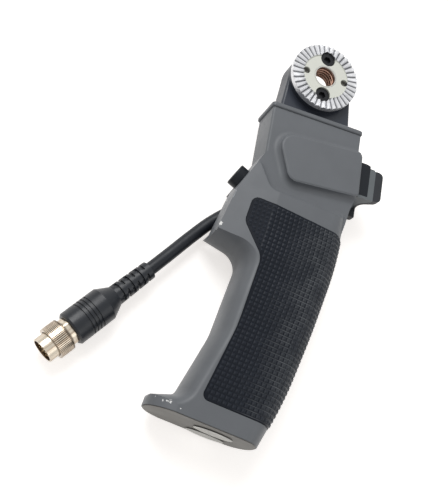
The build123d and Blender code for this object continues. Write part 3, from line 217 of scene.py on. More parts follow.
# CAD pieces that wear each finish.
WORN_BY = {
    "Body paint": ("far_shell",),
    "Body paint with chips": ("near_shell",),
    "Base paint": ("base_cap",),
    "Collar paint": ("top_collar",),
    "Grip rubber": ("rubber_grip",),
    "Neck coating": ("neck_bracket",),
    "Rosette metal": ("rosette_disc",),
    "Thread metal": ("thread_insert",),
    "Black steel": ("rosette_screws", "neck_screws", "housing_screws"),
    "Ground steel": ("rocker_pin", "centering_spring", "button_spring", "potentiometer_nut",
                     "board_screws"),
    "Black moulding": ("rocker_body", "record_button", "record_switch", "control_chip",
                       "plug_insert"),
    "Rocker pad": ("rocker_pad",),
    "Rocker seat": ("rocker_seat",),
    "Pale moulding": ("sector_gear", "pinion", "button_guide", "board_header"),
    "Plated can": ("potentiometer",),
    "Solder mask": ("circuit_board",),
    "Boot rubber": ("cord_gland", "plug_boot"),
    "Knurled nickel": ("coupling_ring",),
    "Nickel plate": ("plug_flange", "plug_shell"),
    "Gold plate": ("contact_pins",),
}

# Camera fitted to the photograph: its place, and the directions of its right, its top and its back.
CAMERA_PLACE = (-0.11487, -0.20232, 0.28869)
CAMERA_RIGHT = (0.9270, 0.1736, 0.3323)
CAMERA_UP = (-0.2699, 0.9242, 0.2702)
CAMERA_BACK = (-0.2602, -0.3402, 0.9036)

# Lamps: name, place, size and the setting of its power, all turned to one spot on the grip.
LAMPS = (("Key lamp", (-0.27, 0.36, 0.57), 0.48, "key_power"),
         ("Fill lamp", (0.45, -0.35, 0.40), 0.40, "fill_power"))
LAMP_AIM = (0.0, -0.07, 0.0)

# Floor: its colours, and the glow that whitens it where it is seen.
FLOOR_SIZE = 6.0
FLOOR_GREY = (0.80, 0.80, 0.80, 1.0)
FLOOR_SECOND_GREY = (0.79, 0.79, 0.79, 1.0)
FLOOR_GLOW = (1.0, 0.960, 0.925, 1.0)
FLOOR_GLOW_STRENGTH = 0.66
WHITE = (1.0, 1.0, 1.0, 1.0)

# Kinds of socket of a shader node group.
VECTOR, COLOUR, VALUE = "NodeSocketVector", "NodeSocketColor", "NodeSocketFloat"


class GripFinish(bpy.types.PropertyGroup):
    """Colours of the grip's finishes."""

    body_grey: FloatVectorProperty(
        name="Body grey", description="Satin paint on the housing", subtype="COLOR", size=4,
        default=(0.143, 0.152, 0.164, 1.0))
    pad_black: FloatVectorProperty(
        name="Grip rubber", description="Rubber on the handle", subtype="COLOR", size=4,
        default=(0.0085, 0.0115, 0.0180, 1.0))
    bracket_dark: FloatVectorProperty(
        name="Neck coating", description="Dark coating on the neck bracket", subtype="COLOR",
        size=4, default=(0.034, 0.040, 0.054, 1.0))
    rosette_silver: FloatVectorProperty(
        name="Rosette teeth", description="Milled metal of the toothed ring", subtype="COLOR",
        size=4, default=(0.860, 0.865, 0.880, 1.0))
    hub_white: FloatVectorProperty(
        name="Rosette hub", description="Blasted metal of the disc's hub", subtype="COLOR",
        size=4, default=(0.660, 0.670, 0.610, 1.0))
    thread_copper: FloatVectorProperty(
        name="Thread metal", description="Coppery metal of the threaded bush", subtype="COLOR",
        size=4, default=(0.560, 0.350, 0.265, 1.0))
    plug_nickel: FloatVectorProperty(
        name="Plug nickel", description="Warm nickel plate of the plug", subtype="COLOR", size=4,
        default=(0.640, 0.570, 0.470, 1.0))
    boot_black: FloatVectorProperty(
        name="Boot rubber", description="Moulded boot and cord jacket", subtype="COLOR", size=4,
        default=(0.0130, 0.0160, 0.0215, 1.0))
    chip_white: FloatVectorProperty(
        name="Paint chips", description="Pale undercoat that shows where paint is chipped",
        subtype="COLOR", size=4, default=(0.820, 0.820, 0.800, 1.0))


class GripSizes(bpy.types.PropertyGroup):
    """Sizes of the pieces that are added to the frame."""

    stud_pitch: FloatProperty(
        name="Stud pitch", description="Distance between the rubber's studs", default=0.00205,
        unit="LENGTH")
    stud_height: FloatProperty(
        name="Stud height", description="Height of a stud over the rubber", default=0.00035,
        unit="LENGTH")
    stud_margin: FloatProperty(
        name="Stud margin", description="Plain rubber along the pad's edge", default=0.0002,
        unit="LENGTH")
    thread_pitch: FloatProperty(
        name="Thread pitch", description="Lead of the rosette's thread", default=0.0015875,
        unit="LENGTH")
    thread_depth: FloatProperty(
        name="Thread depth", description="Height of the thread's ridge", default=0.00078,
        unit="LENGTH")
    cord_diameter: FloatProperty(
        name="Cord diameter", description="Outside of the cord's jacket", default=0.0056,
        unit="LENGTH")
    screw_ridges: IntProperty(
        name="Screw ridges", description="Knurl ridges round a cap screw's head", default=26)


class GripStudio(bpy.types.PropertyGroup):
    """Lamps and lens of the studio."""

    key_power: FloatProperty(
        name="Key lamp", description="Power of the large lamp over the handle", default=4.1,
        unit="POWER")
    fill_power: FloatProperty(
        name="Fill lamp", description="Power of the lamp at the handle's back", default=0.5,
        unit="POWER")
    room_light: FloatProperty(
        name="Room light", description="Strength of the even light from all sides", default=0.35)
    lens: FloatProperty(
        name="Lens", description="Focal length", default=57.6, unit="CAMERA")


def clear_selection():
    """Leave object mode with nothing selected."""
    if bpy.context.object and bpy.context.object.mode != "OBJECT":
        bpy.ops.object.mode_set(mode="OBJECT")
    bpy.ops.object.select_all(action="DESELECT")


def settle(piece):
    """Put a piece's place, turn and size into its mesh."""
    clear_selection()
    piece.select_set(True)
    bpy.context.view_layer.objects.active = piece
    bpy.ops.object.transform_apply(location=True, rotation=True, scale=True)


def settings():
    """The scene's finish, size and studio settings."""
    scene = bpy.context.scene
    return scene.grip_finish, scene.grip_sizes, scene.grip_studio


def bare_tree(owner):
    """Empty node tree of a material or a world."""
    owner.use_nodes = True
    owner.node_tree.nodes.clear()
    return owner.node_tree


def feed(tree, node, inputs):
    """Give a node its inputs, each a value, or a socket to link."""
    for key, value in inputs.items():
        if isinstance(value, bpy.types.NodeSocket):
            tree.links.new(value, node.inputs[key])
        else:
            node.inputs[key].default_value = value
    return node


def add_node(tree, kind, inputs, **options):
    """One node of a tree, with its options and its inputs."""
    made = tree.nodes.new(kind)
    for name, value in options.items():
        setattr(made, name, value)
    return feed(tree, made, inputs)


def group_node(tree, name, inputs):
    """Outputs of a shared node group that is placed in a tree."""
    return add_node(tree, "ShaderNodeGroup", inputs,
                    node_tree=bpy.data.node_groups[name]).outputs


def maths(tree, operation, *inputs, clamp=False):
    """One sum in a tree; each input is a value or a socket."""
    return add_node(tree, "ShaderNodeMath", dict(enumerate(inputs)), operation=operation,
                    use_clamp=clamp).outputs[0]


def vector_maths(tree, operation, *inputs, **named):
    """One sum of vectors in a tree, which gives a vector or, for a length or a product, a value."""
    made = add_node(tree, "ShaderNodeVectorMath", {**dict(enumerate(inputs)), **named},
                    operation=operation)
    single = operation in ("DISTANCE", "DOT_PRODUCT", "LENGTH")
    return made.outputs["Value" if single else "Vector"]


def product(tree, first, *others):
    """Shares multiplied together."""
    for other in others:
        first = maths(tree, "MULTIPLY", first, other)
    return first


def slope(tree, value, low, high, low_share=0.0, high_share=1.0):
    """A value's place between two bounds, as a share that stays between two others."""
    return add_node(tree, "ShaderNodeMapRange", {
        "Value": value, "From Min": low, "From Max": high,
        "To Min": low_share, "To Max": high_share}).outputs["Result"]


def blended(tree, share, first, second):
    """Two colours mixed by a share."""
    return add_node(tree, "ShaderNodeMix", {"Factor": share, "A": first, "B": second},
                    data_type="RGBA").outputs[2]


def noise(tree, place, scale, detail, roughness=0.5, output="Fac"):
    """Soft noise round a place."""
    return add_node(tree, "ShaderNodeTexNoise", {
        "Vector": place, "Scale": scale, "Detail": detail, "Roughness": roughness}).outputs[output]


def parts_of(tree, vector):
    """X, Y and Z of a vector."""
    return add_node(tree, "ShaderNodeSeparateXYZ", {0: vector}).outputs


def angle_round(tree, parts):
    """Angle of a place round Z."""
    return maths(tree, "ARCTAN2", parts["Y"], parts["X"])


def streaks(tree, parts, scale):
    """Noise that changes only with the angle round Z."""
    return add_node(tree, "ShaderNodeTexNoise", {
        "W": angle_round(tree, parts), "Scale": scale, "Detail": 2.0},
        noise_dimensions="1D").outputs["Fac"]


def turned_place(tree, place, origin, turn):
    """A place as it is seen from a frame with its own origin and turn."""
    return add_node(tree, "ShaderNodeMapping", {"Vector": place, "Location": origin,
                                                "Rotation": turn},
                    vector_type="TEXTURE").outputs["Vector"]


def new_group(name, inputs):
    """Shader node group and its inputs, each named with its kind, or with a value's default."""
    group = bpy.data.node_groups.new(name, "ShaderNodeTree")
    for socket, given in inputs.items():
        kind = given if isinstance(given, str) else VALUE
        made = group.interface.new_socket(name=socket, in_out="INPUT", socket_type=kind)
        if kind == VALUE:
            made.default_value = given
    return group, group.nodes.new("NodeGroupInput").outputs


def close_group(group, **results):
    """Give a group its outputs; the one named Colour is a colour, and the others are values."""
    for name in results:
        kind = COLOUR if name == "Colour" else VALUE
        group.interface.new_socket(name=name, in_out="OUTPUT", socket_type=kind)
    feed(group, group.nodes.new("NodeGroupOutput"), results)


def grain_group():
    """Fine moulded or sprayed grain, as a height for a bump."""
    group, given = new_group("Surface grain", {"Vector": VECTOR, "Scale": 2600.0})
    close_group(group, Height=noise(group, given["Vector"], given["Scale"], 3.0))


def mottle_group():
    """Slow change between two colours, and a slow mask for roughness."""
    group, given = new_group("Colour mottle", {"Vector": VECTOR, "Scale": 60.0,
                                               "Colour": COLOUR, "Second colour": COLOUR})
    slow = slope(group, noise(group, given["Vector"], given["Scale"], 4.0, 0.6), 0.35, 0.65)
    close_group(group, Colour=blended(group, slow, given["Colour"], given["Second colour"]),
                Mask=slow)


def ragged_mask(group, given, away, noise_scale, raggedness, edge):
    """Mask out to a share of the radius, with a ragged end, over the mask before it."""
    share = maths(group, "DIVIDE", away, given["Radius"])
    rough = noise(group, given["Vector"], noise_scale, 3.0)
    ragged = maths(group, "MULTIPLY_ADD", rough, raggedness, share)
    return maths(group, "MAXIMUM", slope(group, ragged, *edge, 1.0, 0.0), given["Before"])


def chip_group():
    """Ragged spot round a place, where paint has come off."""
    group, given = new_group("Paint chip", {"Vector": VECTOR, "Place": VECTOR, "Radius": 0.001,
                                            "Before": 0.0})
    away = vector_maths(group, "DISTANCE", given["Vector"], given["Place"])
    close_group(group, Mask=ragged_mask(group, given, away, noise_scale=1500.0, raggedness=2.6,
                                        edge=(1.75, 1.95)))


def edge_highlight_group():
    """Thin broken line of painted highlight along an edge between two places."""
    group, given = new_group("Worn edge", {"Vector": VECTOR, "Start": VECTOR, "End": VECTOR,
                                           "Radius": 0.0003, "Before": 0.0})
    run = vector_maths(group, "SUBTRACT", given["End"], given["Start"])
    away = vector_maths(group, "SUBTRACT", given["Vector"], given["Start"])
    along = vector_maths(group, "DOT_PRODUCT", away, run)
    whole = vector_maths(group, "DOT_PRODUCT", run, run)
    share = maths(group, "DIVIDE", along, whole, clamp=True)
    gap = vector_maths(group, "DISTANCE", away, vector_maths(group, "SCALE", run, Scale=share))
    close_group(group, Mask=ragged_mask(group, given, gap, noise_scale=500.0, raggedness=2.2,
                                        edge=(1.6, 2.1)))


def knurl_group():
    """Ridges round an axis along Z: a height, and how far a place is from the axis."""
    group, given = new_group("Round knurl", {"Vector": VECTOR, "Count": 24.0})
    angle = angle_round(group, parts_of(group, given["Vector"]))
    wave = maths(group, "COSINE", maths(group, "MULTIPLY", angle, given["Count"]))
    flat = vector_maths(group, "MULTIPLY", given["Vector"], (1.0, 1.0, 0.0))
    close_group(group, Height=wave, Radius=vector_maths(group, "LENGTH", flat))


def scuff_group():
    """Sparse thin scratches, as a mask."""
    group, given = new_group("Scuffs", {"Vector": VECTOR, "Scale": 90.0, "Amount": 0.5})
    bent = noise(group, given["Vector"], 25.0, 2.0, output="Color")
    pushed = vector_maths(group, "MULTIPLY_ADD", bent, (0.02, 0.02, 0.02), given["Vector"])
    cells = add_node(group, "ShaderNodeTexVoronoi", {"Vector": pushed, "Scale": given["Scale"]},
                     feature="DISTANCE_TO_EDGE").outputs["Distance"]
    lines = slope(group, cells, 0.0, 0.012, 1.0, 0.0)
    where = slope(group, noise(group, given["Vector"], 45.0, 3.0), 0.56, 0.70)
    close_group(group, Mask=product(group, lines, where, given["Amount"]))


def scaled(colour, share):
    """A colour made lighter or darker by a share."""
    return tuple(min(1.0, c * share) for c in colour[:3]) + (1.0,)


def finish_material(name, colour, rough=(0.45, 0.55), grain=(2600.0, 0.15, 0.00004),
                    mottle=(60.0, 0.92), metallic=0.0, specular=0.5, chips=(), edges=(),
                    scuffs=0.0, scuff_colour=None):
    """Moulded, painted or metal finish.

    rough holds the bounds of its roughness, grain the scale, strength and depth of a bump, mottle
    a scale and the second colour's share of the first, chips the places where it is bare, edges
    the lines where a highlight is painted, and scuffs how much of the scratches shows.
    """
    made = bpy.data.materials.new(name)
    tree = bare_tree(made)
    place = add_node(tree, "ShaderNodeTexCoord", {}).outputs["Object"]
    tone = group_node(tree, "Colour mottle", {"Vector": place, "Scale": mottle[0],
                                              "Colour": colour,
                                              "Second colour": scaled(colour, mottle[1])})
    paint = tone["Colour"]
    if scuffs > 0:
        worn = group_node(tree, "Scuffs", {"Vector": place, "Amount": scuffs})["Mask"]
        paint = blended(tree, worn, paint, scuff_colour or scaled(colour, SCUFF_LIGHTENING))
    # Chips show the pale undercoat; edges are painted highlights, lighter copies of the paint.
    for group, names, spots, chip_and_highlight_colour in (
            ("Worn edge", ("Start", "End", "Radius"), edges, scaled(colour, EDGE_HIGHLIGHT_LIGHTENING)),
            ("Paint chip", ("Place", "Radius"), chips, tuple(settings()[0].chip_white))):
        mask = 0.0
        for spot in spots:
            mask = group_node(tree, group, {"Vector": place, "Before": mask,
                                            **dict(zip(names, spot))})["Mask"]
        if spots:
            paint = blended(tree, mask, paint, chip_and_highlight_colour)
    shader = add_node(tree, "ShaderNodeBsdfPrincipled", {
        "Base Color": paint, "Roughness": slope(tree, tone["Mask"], 0.0, 1.0, *rough),
        "Metallic": metallic, "Specular IOR Level": specular})
    if grain is not None:
        scale, strength, depth = grain
        height = group_node(tree, "Surface grain", {"Vector": place, "Scale": scale})["Height"]
        add_bump(tree, height, strength, depth)
    add_node(tree, "ShaderNodeOutputMaterial", {"Surface": shader.outputs["BSDF"]})
    return made


def principled(tree):
    """The Principled shader of a finish."""
    return next(n for n in tree.nodes if n.type == "BSDF_PRINCIPLED")


def add_bump(tree, height, strength, depth):
    """Give a finish a bump."""
    bump = add_node(tree, "ShaderNodeBump", {"Height": height, "Strength": strength,
                                             "Distance": depth})
    feed(tree, principled(tree), {"Normal": bump.outputs["Normal"]})


def opened(made):
    """The tree and the Object coordinates of a finish, to add to it."""
    tree = made.node_tree
    return tree, next(n for n in tree.nodes if n.type == "TEX_COORD").outputs["Object"]


def repaint(tree, change, socket="Base Color"):
    """Run a finish's colour, or what feeds another socket, through a change."""
    shader = principled(tree)
    before = shader.inputs[socket].links[0].from_socket
    feed(tree, shader, {socket: change(before)})


def rosette_finish(finish):
    """Blasted hub and milled teeth, with painted shade in the valleys and the holes."""
    made = finish_material("Rosette metal", tuple(finish.rosette_silver), rough=(0.30, 0.45),
                           grain=(2200.0, 0.35, 0.00006), mottle=(420.0, 0.80))
    tree, place = opened(made)
    parts = parts_of(tree, place)
    radius = group_node(tree, "Round knurl", {"Vector": place})["Radius"]
    hub = slope(tree, radius, *HUB_EDGE, 1.0, 0.0)
    # Painted shade: the teeth's valleys darken with depth.
    valley = product(tree, slope(tree, parts["Z"], *VALLEY_SINK),
                     slope(tree, radius, *RIM_EDGE, 1.0, 0.0), 0.85)
    # Painted shade: the hub's holes darken with depth.
    holes = slope(tree, parts["Z"], *HOLE_SINK, 0.0, 0.75)
    milled = slope(tree, streaks(tree, parts, 60.0), 0.3, 0.7, 0.0, 0.5)

    def change(before):
        teeth = blended(tree, milled, before, MILLED_GREY)
        teeth = blended(tree, valley, teeth, VALLEY_PAINTED_SHADE)
        blasted = blended(tree, holes, tuple(finish.hub_white), HOLE_PAINTED_SHADE)
        return blended(tree, hub, teeth, blasted)

    repaint(tree, change)
    repaint(tree, lambda before: maths(tree, "MULTIPLY_ADD", hub, 0.25, before), "Roughness")
    feed(tree, principled(tree), {"Metallic": slope(tree, hub, 0.0, 1.0, 0.70, 0.12)})


def bush_finish(finish):
    """Coppery thread, with painted shade in its grooves, under a silver mouth."""
    made = finish_material("Thread metal", tuple(finish.thread_copper), rough=(0.25, 0.4),
                           grain=None, mottle=(500.0, 0.6), metallic=0.9)
    tree, place = opened(made)
    parts = parts_of(tree, place)
    radius = group_node(tree, "Round knurl", {"Vector": place})["Radius"]
    mouth = slope(tree, parts["Z"], *MOUTH_SINK)
    # Painted shade: darker towards the bottom of the thread's grooves.
    groove = product(tree, slope(tree, radius, *GROOVE_EDGE, 0.0, 0.7),
                     slope(tree, parts["Z"], *INNER_SINK))
    repaint(tree, lambda before: blended(tree, mouth, blended(tree, groove, before, GROOVE_PAINTED_SHADE),
                                         MOUTH_SILVER))


def cap_screw_finish(ridges):
    """Blackened steel with a knurled rim on the rosette's two screws."""
    made = finish_material("Black steel", (0.0105, 0.0120, 0.0150, 1.0), rough=(0.26, 0.38),
                           grain=None, mottle=(500.0, 0.7), specular=0.28)
    tree, place = opened(made)
    folded = vector_maths(tree, "ABSOLUTE", place)
    centred = vector_maths(tree, "SUBTRACT", folded, SCREW_OFFSET)
    rim = group_node(tree, "Round knurl", {"Vector": centred, "Count": float(ridges)})
    knurl = product(tree, rim["Height"], slope(tree, rim["Radius"], *SCREW_RIM))
    add_bump(tree, knurl, strength=0.8, depth=0.00012)


def pad_finish(name, finish, sizes, share, gloss, dust_and_highlight_share, glint_share):
    """Grip rubber with dust and a painted highlight along the lines between the rows of studs, and
    painted glints at the back.
    """
    made = finish_material(name, scaled(tuple(finish.pad_black), share), rough=(0.36, 0.50),
                           grain=(1500.0, 0.3, 0.0001), mottle=(90.0, 0.8), specular=gloss)
    tree, place = opened(made)
    parts = parts_of(tree, turned_place(tree, place, (0.0, 0.0, MID_Z), (0.0, 0.0, GRIP_TURN)))
    rows = maths(tree, "MULTIPLY_ADD", parts["Y"], 1.0 / sizes.stud_pitch,
                 0.5 - STUD_ROW_Y / sizes.stud_pitch)
    part = maths(tree, "FRACT", rows)
    from_line = maths(tree, "MINIMUM", part, maths(tree, "SUBTRACT", 1.0, part))
    patches = noise(tree, place, 130.0, 2.0)
    # Dust, with a painted highlight, along the lines between the rows.
    dust_and_highlight = product(tree, slope(tree, from_line, *DUST_AND_HIGHLIGHT_LINE, dust_and_highlight_share, 0.0),
                   slope(tree, parts["X"], *DUST_AND_HIGHLIGHT_BACK, 0.02, 1.0),
                   slope(tree, patches, 0.38, 0.62, 0.25, 1.0))
    # Painted glints, lighter towards the handle's back.
    painted_glint = product(tree, slope(tree, parts["X"], *GLINT_BACK, 0.0, glint_share),
                   slope(tree, patches, 0.30, 0.60, 0.35, 1.0))
    repaint(tree, lambda before: blended(tree, dust_and_highlight, blended(tree, painted_glint, before, RUBBER_PAINTED_GLINT),
                                         RUBBER_DUST_AND_HIGHLIGHT))


def plug_finish(name, finish, ridges, outside, hollow):
    """Warm nickel, with painted shade between the knurl's ridges, inside the shell and on the
    flange, and painted reflection bands along it.

    outside holds the radii where the knurl begins, and hollow those where the hollow does.
    """
    made = finish_material(name, tuple(finish.plug_nickel), rough=(0.16, 0.28), grain=None,
                           mottle=(350.0, 0.88), metallic=0.92)
    tree, place = opened(made)
    own = turned_place(tree, place, PLUG_MOUTH, (0.0, math.pi / 2, PLUG_TURN))
    parts = parts_of(tree, own)
    ring = group_node(tree, "Round knurl", {"Vector": own, "Count": float(ridges)})
    # Painted shade between the knurl's ridges.
    between = product(tree, slope(tree, ring["Height"], 0.35, -0.25),
                      slope(tree, ring["Radius"], *outside))
    # Painted shade inside the shell's hollow.
    inside = slope(tree, ring["Radius"], *hollow, 0.0, 0.8)
    # Painted shade on the flange, by the boot's end and in the gap before the ring.
    from_gap = maths(tree, "ABSOLUTE", maths(tree, "SUBTRACT", parts["Z"], RING_GAP_Z))
    painted_gap_shade = maths(tree, "MAXIMUM", slope(tree, parts["Z"], *BOOT_END_PAINTED_SHADE),
                  slope(tree, from_gap, *RING_GAP_PAINTED_SHADE))
    # Painted reflection: bands round the plug's axis that darken the nickel.
    painted_reflection_bands = slope(tree, streaks(tree, parts, 2.4), 0.50, 0.62, 0.0, 0.75)

    def change(before):
        with_painted_reflections = blended(tree, painted_reflection_bands, before, PAINTED_REFLECTION_BANDS)
        lined = blended(tree, between, with_painted_reflections, KNURL_PAINTED_SHADE)
        lined = blended(tree, product(tree, painted_gap_shade, 0.85), lined, FLANGE_PAINTED_SHADE)
        return blended(tree, inside, lined, HOLLOW_PAINTED_SHADE)

    repaint(tree, change)


def dress(piece, finish_name):
    """Give a piece its finish."""
    piece.data.materials.clear()
    piece.data.materials.append(bpy.data.materials[finish_name])


def hand_over(piece, name, body, finish_name):
    """Name a new piece, dress it, and let it ride on a body."""
    piece.name = name
    piece.data.name = name
    dress(piece, finish_name)
    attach(piece, body)


class SCENE_OT_shared_effects(bpy.types.Operator):
    """Build the node groups that the finishes share"""
    bl_idname = "scene.grip_shared_effects"
    bl_label = "Shared effects"

    def execute(self, context):
        grain_group()
        mottle_group()
        chip_group()
        edge_highlight_group()
        knurl_group()
        scuff_group()
        return {"FINISHED"}


class OBJECT_OT_finish_frame(bpy.types.Operator):
    """Give every CAD piece its finish"""
    bl_idname = "object.grip_finish_frame"
    bl_label = "Finish the CAD pieces"

    def execute(self, context):
        finish, sizes = settings()[:2]
        self.paint_body(finish)
        self.blacken(finish, sizes)
        rosette_finish(finish)
        bush_finish(finish)
        cap_screw_finish(sizes.screw_ridges)
        plug_finish("Knurled nickel", finish, ridges=60, outside=(0.0060, 0.0062),
                    hollow=(0.0058, 0.0056))
        plug_finish("Nickel plate", finish, ridges=6, outside=(0.0057, 0.0058),
                    hollow=(0.0049, 0.0047))
        for name, (colour, details) in PLAIN_FINISHES.items():
            finish_material(name, colour, **details)
        for name, (colour, details) in PLAIN_METALS.items():
            finish_material(name, colour, grain=None, metallic=1.0, **details)
        dressed = {node for nodes in WORN_BY.values() for node in nodes}
        missing = set(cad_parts) - dressed - {"cord"}
        if missing:
            raise RuntimeError("no finish for " + ", ".join(sorted(missing)))
        for finish_name, nodes in WORN_BY.items():
            for node in nodes:
                dress(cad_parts[node], finish_name)
        return {"FINISHED"}

    def paint_body(self, finish):
        """Satin paint of the housing and its collar."""
        grey = tuple(finish.body_grey)
        satin = {"rough": (0.38, 0.48), "specular": 0.32}
        finish_material("Body paint", grey, scuffs=0.08, **satin)
        finish_material("Body paint with chips", grey, chips=LIP_CHIPS + TOE_CHIPS, edges=LIP_EDGE_HIGHLIGHTS,
                        scuffs=0.08, **satin)
        finish_material("Collar paint", scaled(grey, 0.95), **satin)

    def blacken(self, finish, sizes):
        """Rubber of the pad, its studs, the boot and the cord, and the neck's coating."""
        # Painted light: the rubber between the studs is a darker copy of the pad's black, for
        # painted shade, and the studs a lighter copy, for a painted highlight.
        pad_finish("Grip rubber", finish, sizes, share=0.85, gloss=0.12, dust_and_highlight_share=1.0, glint_share=0.0)
        pad_finish("Stud rubber", finish, sizes, share=1.3, gloss=0.18, dust_and_highlight_share=0.30, glint_share=0.8)
        finish_material("Neck coating", tuple(finish.bracket_dark), rough=(0.3, 0.45),
                        grain=(1200.0, 0.12, 0.0001), specular=0.35, scuffs=0.2)
        finish_material("Boot rubber", tuple(finish.boot_black), rough=(0.28, 0.40),
                        grain=(1800.0, 0.12, 0.00005), mottle=(120.0, 0.85), specular=0.36)
        finish_material("Cord jacket", scaled(tuple(finish.boot_black), 0.9), rough=(0.36, 0.48),
                        grain=(1500.0, 0.15, 0.00005), mottle=(150.0, 0.85), specular=0.26)


class OBJECT_OT_cord(bpy.types.Operator):
    """Lay the cord from its gland to the plug"""
    bl_idname = "object.grip_cord"
    bl_label = "Cord"

    def execute(self, context):
        sizes = settings()[1]
        curve = bpy.data.curves.new("flexible_cord", "CURVE")
        curve.dimensions = "3D"
        line = curve.splines.new("NURBS")
        line.points.add(len(CORD_POINTS) - 1)
        for point, place in zip(line.points, CORD_POINTS):
            point.co = (*place, 1.0)
        line.order_u = 3
        line.use_endpoint_u = True
        line.resolution_u = 24
        curve.bevel_depth = sizes.cord_diameter / 2
        curve.bevel_resolution = 8
        curve.use_fill_caps = True
        piece = bpy.data.objects.new("flexible_cord", curve)
        context.collection.objects.link(piece)
        hand_over(piece, "flexible_cord", "grip", "Cord jacket")
        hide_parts("cord")
        return {"FINISHED"}


class OBJECT_OT_thread(bpy.types.Operator):
    """Turn the thread in the rosette's bush"""
    bl_idname = "object.grip_thread"
    bl_label = "Thread"

    def execute(self, context):
        sizes = settings()[1]
        low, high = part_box("thread_insert")
        pitch, depth = sizes.thread_pitch, sizes.thread_depth
        start = Vector((BUSH_BORE, 0, low.z + pitch))
        turns = (high.z - low.z - 2 * pitch) / pitch
        clear_selection()
        bpy.ops.mesh.primitive_circle_add(vertices=3, radius=pitch * 0.5, fill_type="NOTHING",
                                          location=start, rotation=(math.pi / 2, 0, 0))
        ridge = context.object
        foot = pitch * THREAD_FOOT_SHARE
        corners = ((THREAD_SINK, 0, -foot), (THREAD_SINK, 0, foot), (-depth, 0, 0))
        inverse = ridge.matrix_world.inverted()
        for vertex, corner in zip(ridge.data.vertices, corners):
            vertex.co = inverse @ (Vector(corner) + start)
        settle(ridge)
        screw = ridge.modifiers.new("Turns", "SCREW")
        screw.angle = math.tau * turns
        screw.steps = screw.render_steps = int(THREAD_STEPS * turns)
        screw.screw_offset = pitch * turns
        screw.use_merge_vertices = False
        screw.use_smooth_shade = True
        bpy.ops.object.modifier_apply(modifier=screw.name)
        bpy.ops.object.mode_set(mode="EDIT")
        bpy.ops.mesh.select_all(action="SELECT")
        bpy.ops.mesh.fill_holes(sides=3)
        bpy.ops.mesh.normals_make_consistent(inside=False)
        bpy.ops.object.mode_set(mode="OBJECT")
        hand_over(ridge, "thread_turns", "grip", "Thread metal")
        return {"FINISHED"}


def rubber_ray(rubber, start, direction):
    """Place and normal where a ray in the handle's frame meets the rubber, or None."""
    turn = Matrix.Rotation(GRIP_TURN, 3, "Z")
    origin = turn @ Vector(start) + Vector((0, 0, MID_Z))
    hit, place, normal, _ = rubber.ray_cast(origin, turn @ Vector(direction))
    return (place, normal) if hit else None


def rubber_section(rubber, y):
    """Points round the rubber at a height of the handle, from the near side round the back.

    Each is a place and a normal, or None where a ray met no rubber.
    """
    back = rubber_ray(rubber, (RAY_REACH, y, 0), (-1, 0, 0))
    if back is None:
        return []
    turn = Matrix.Rotation(-GRIP_TURN, 3, "Z")
    middle_x = (turn @ (back[0] - Vector((0, 0, MID_Z)))).x - BACK_DEPTH
    steps = int((middle_x + FRONT_REACH) / SECTION_STEP)
    rays = []
    for i in range(steps, -1, -1):
        rays.append(((middle_x - i * SECTION_STEP, y, RAY_REACH), (0, 0, -1)))
    for i in range(1, BACK_FAN):
        angle = math.pi / 2 - math.pi * i / BACK_FAN
        away = Vector((math.cos(angle), 0, math.sin(angle)))
        rays.append((Vector((middle_x, y, 0)) + away * RAY_REACH, -away))
    for i in range(steps + 1):
        rays.append(((middle_x - i * SECTION_STEP, y, -RAY_REACH), (0, 0, 1)))
    return [rubber_ray(rubber, start, direction) for start, direction in rays]


class StudBed:
    """The rubber, and the studs that are set on it so far."""

    def __init__(self, rubber, sizes, shape, faces):
        self.rubber = rubber
        self.pitch = sizes.stud_pitch
        self.margin = sizes.stud_margin
        self.up = Matrix.Rotation(GRIP_TURN, 3, "Z") @ Vector((0, 1, 0))
        self.shape = shape
        self.faces = faces
        self.vertices = []
        self.polygons = []

    def seat_row(self, section):
        """Seat one row of studs, counted both ways from the middle of the back."""
        if not section:
            return
        middle = len(section) // 2
        for way in (1, -1):
            walked, target = 0.0, self.pitch / 2
            here = section[middle]
            index = middle + way
            while 0 <= index < len(section):
                there = section[index]
                if here is None or there is None:
                    break
                step = (there[0] - here[0]).length
                while step > 0 and walked + step >= target:
                    share = (target - walked) / step
                    self.seat_stud(here[0].lerp(there[0], share),
                                   here[1].lerp(there[1], share).normalized())
                    target += self.pitch
                walked += step
                here = there
                index += way

    def seat_stud(self, place, normal):
        """Seat one stud where the rubber carries it, or as much of one as fits beside the edge."""
        across = self.up.cross(normal).normalized()
        along = normal.cross(across)
        half = self.pitch * STUD_HALF_SHARE
        lows, highs = [-half, -half], [half, half]
        for side in (-1, 1):
            for end in (-1, 1):
                corner = self.carried(place, normal, across * side, along * end, half)
                if corner is None:
                    return
                for axis, sign in ((0, side), (1, end)):
                    if sign < 0:
                        lows[axis] = max(lows[axis], -corner[axis])
                    else:
                        highs[axis] = min(highs[axis], corner[axis])
        turn = Matrix((across, along, normal)).transposed()
        first = len(self.vertices)
        for v in self.shape:
            x = (lows[0] + highs[0]) / 2 + v.x * (highs[0] - lows[0]) / half / 2
            y = (lows[1] + highs[1]) / 2 + v.y * (highs[1] - lows[1]) / half / 2
            self.vertices.append(place + turn @ Vector((x, y, v.z)))
        self.polygons.extend([first + i for i in face] for face in self.faces)

    def carried(self, place, normal, aside, onward, half):
        """How far the rubber carries a stud's corner each way, or None where that is too little."""
        for wide, long in CORNER_SHARES:
            start = (place + aside * (half * wide + self.margin)
                     + onward * (half * long + self.margin) + normal * PROBE_LIFT)
            hit, _, facing, _ = self.rubber.ray_cast(start, -normal, distance=PROBE_REACH)
            if hit and facing.dot(normal) > FACING_LEAST:
                return half * wide, half * long
        return None


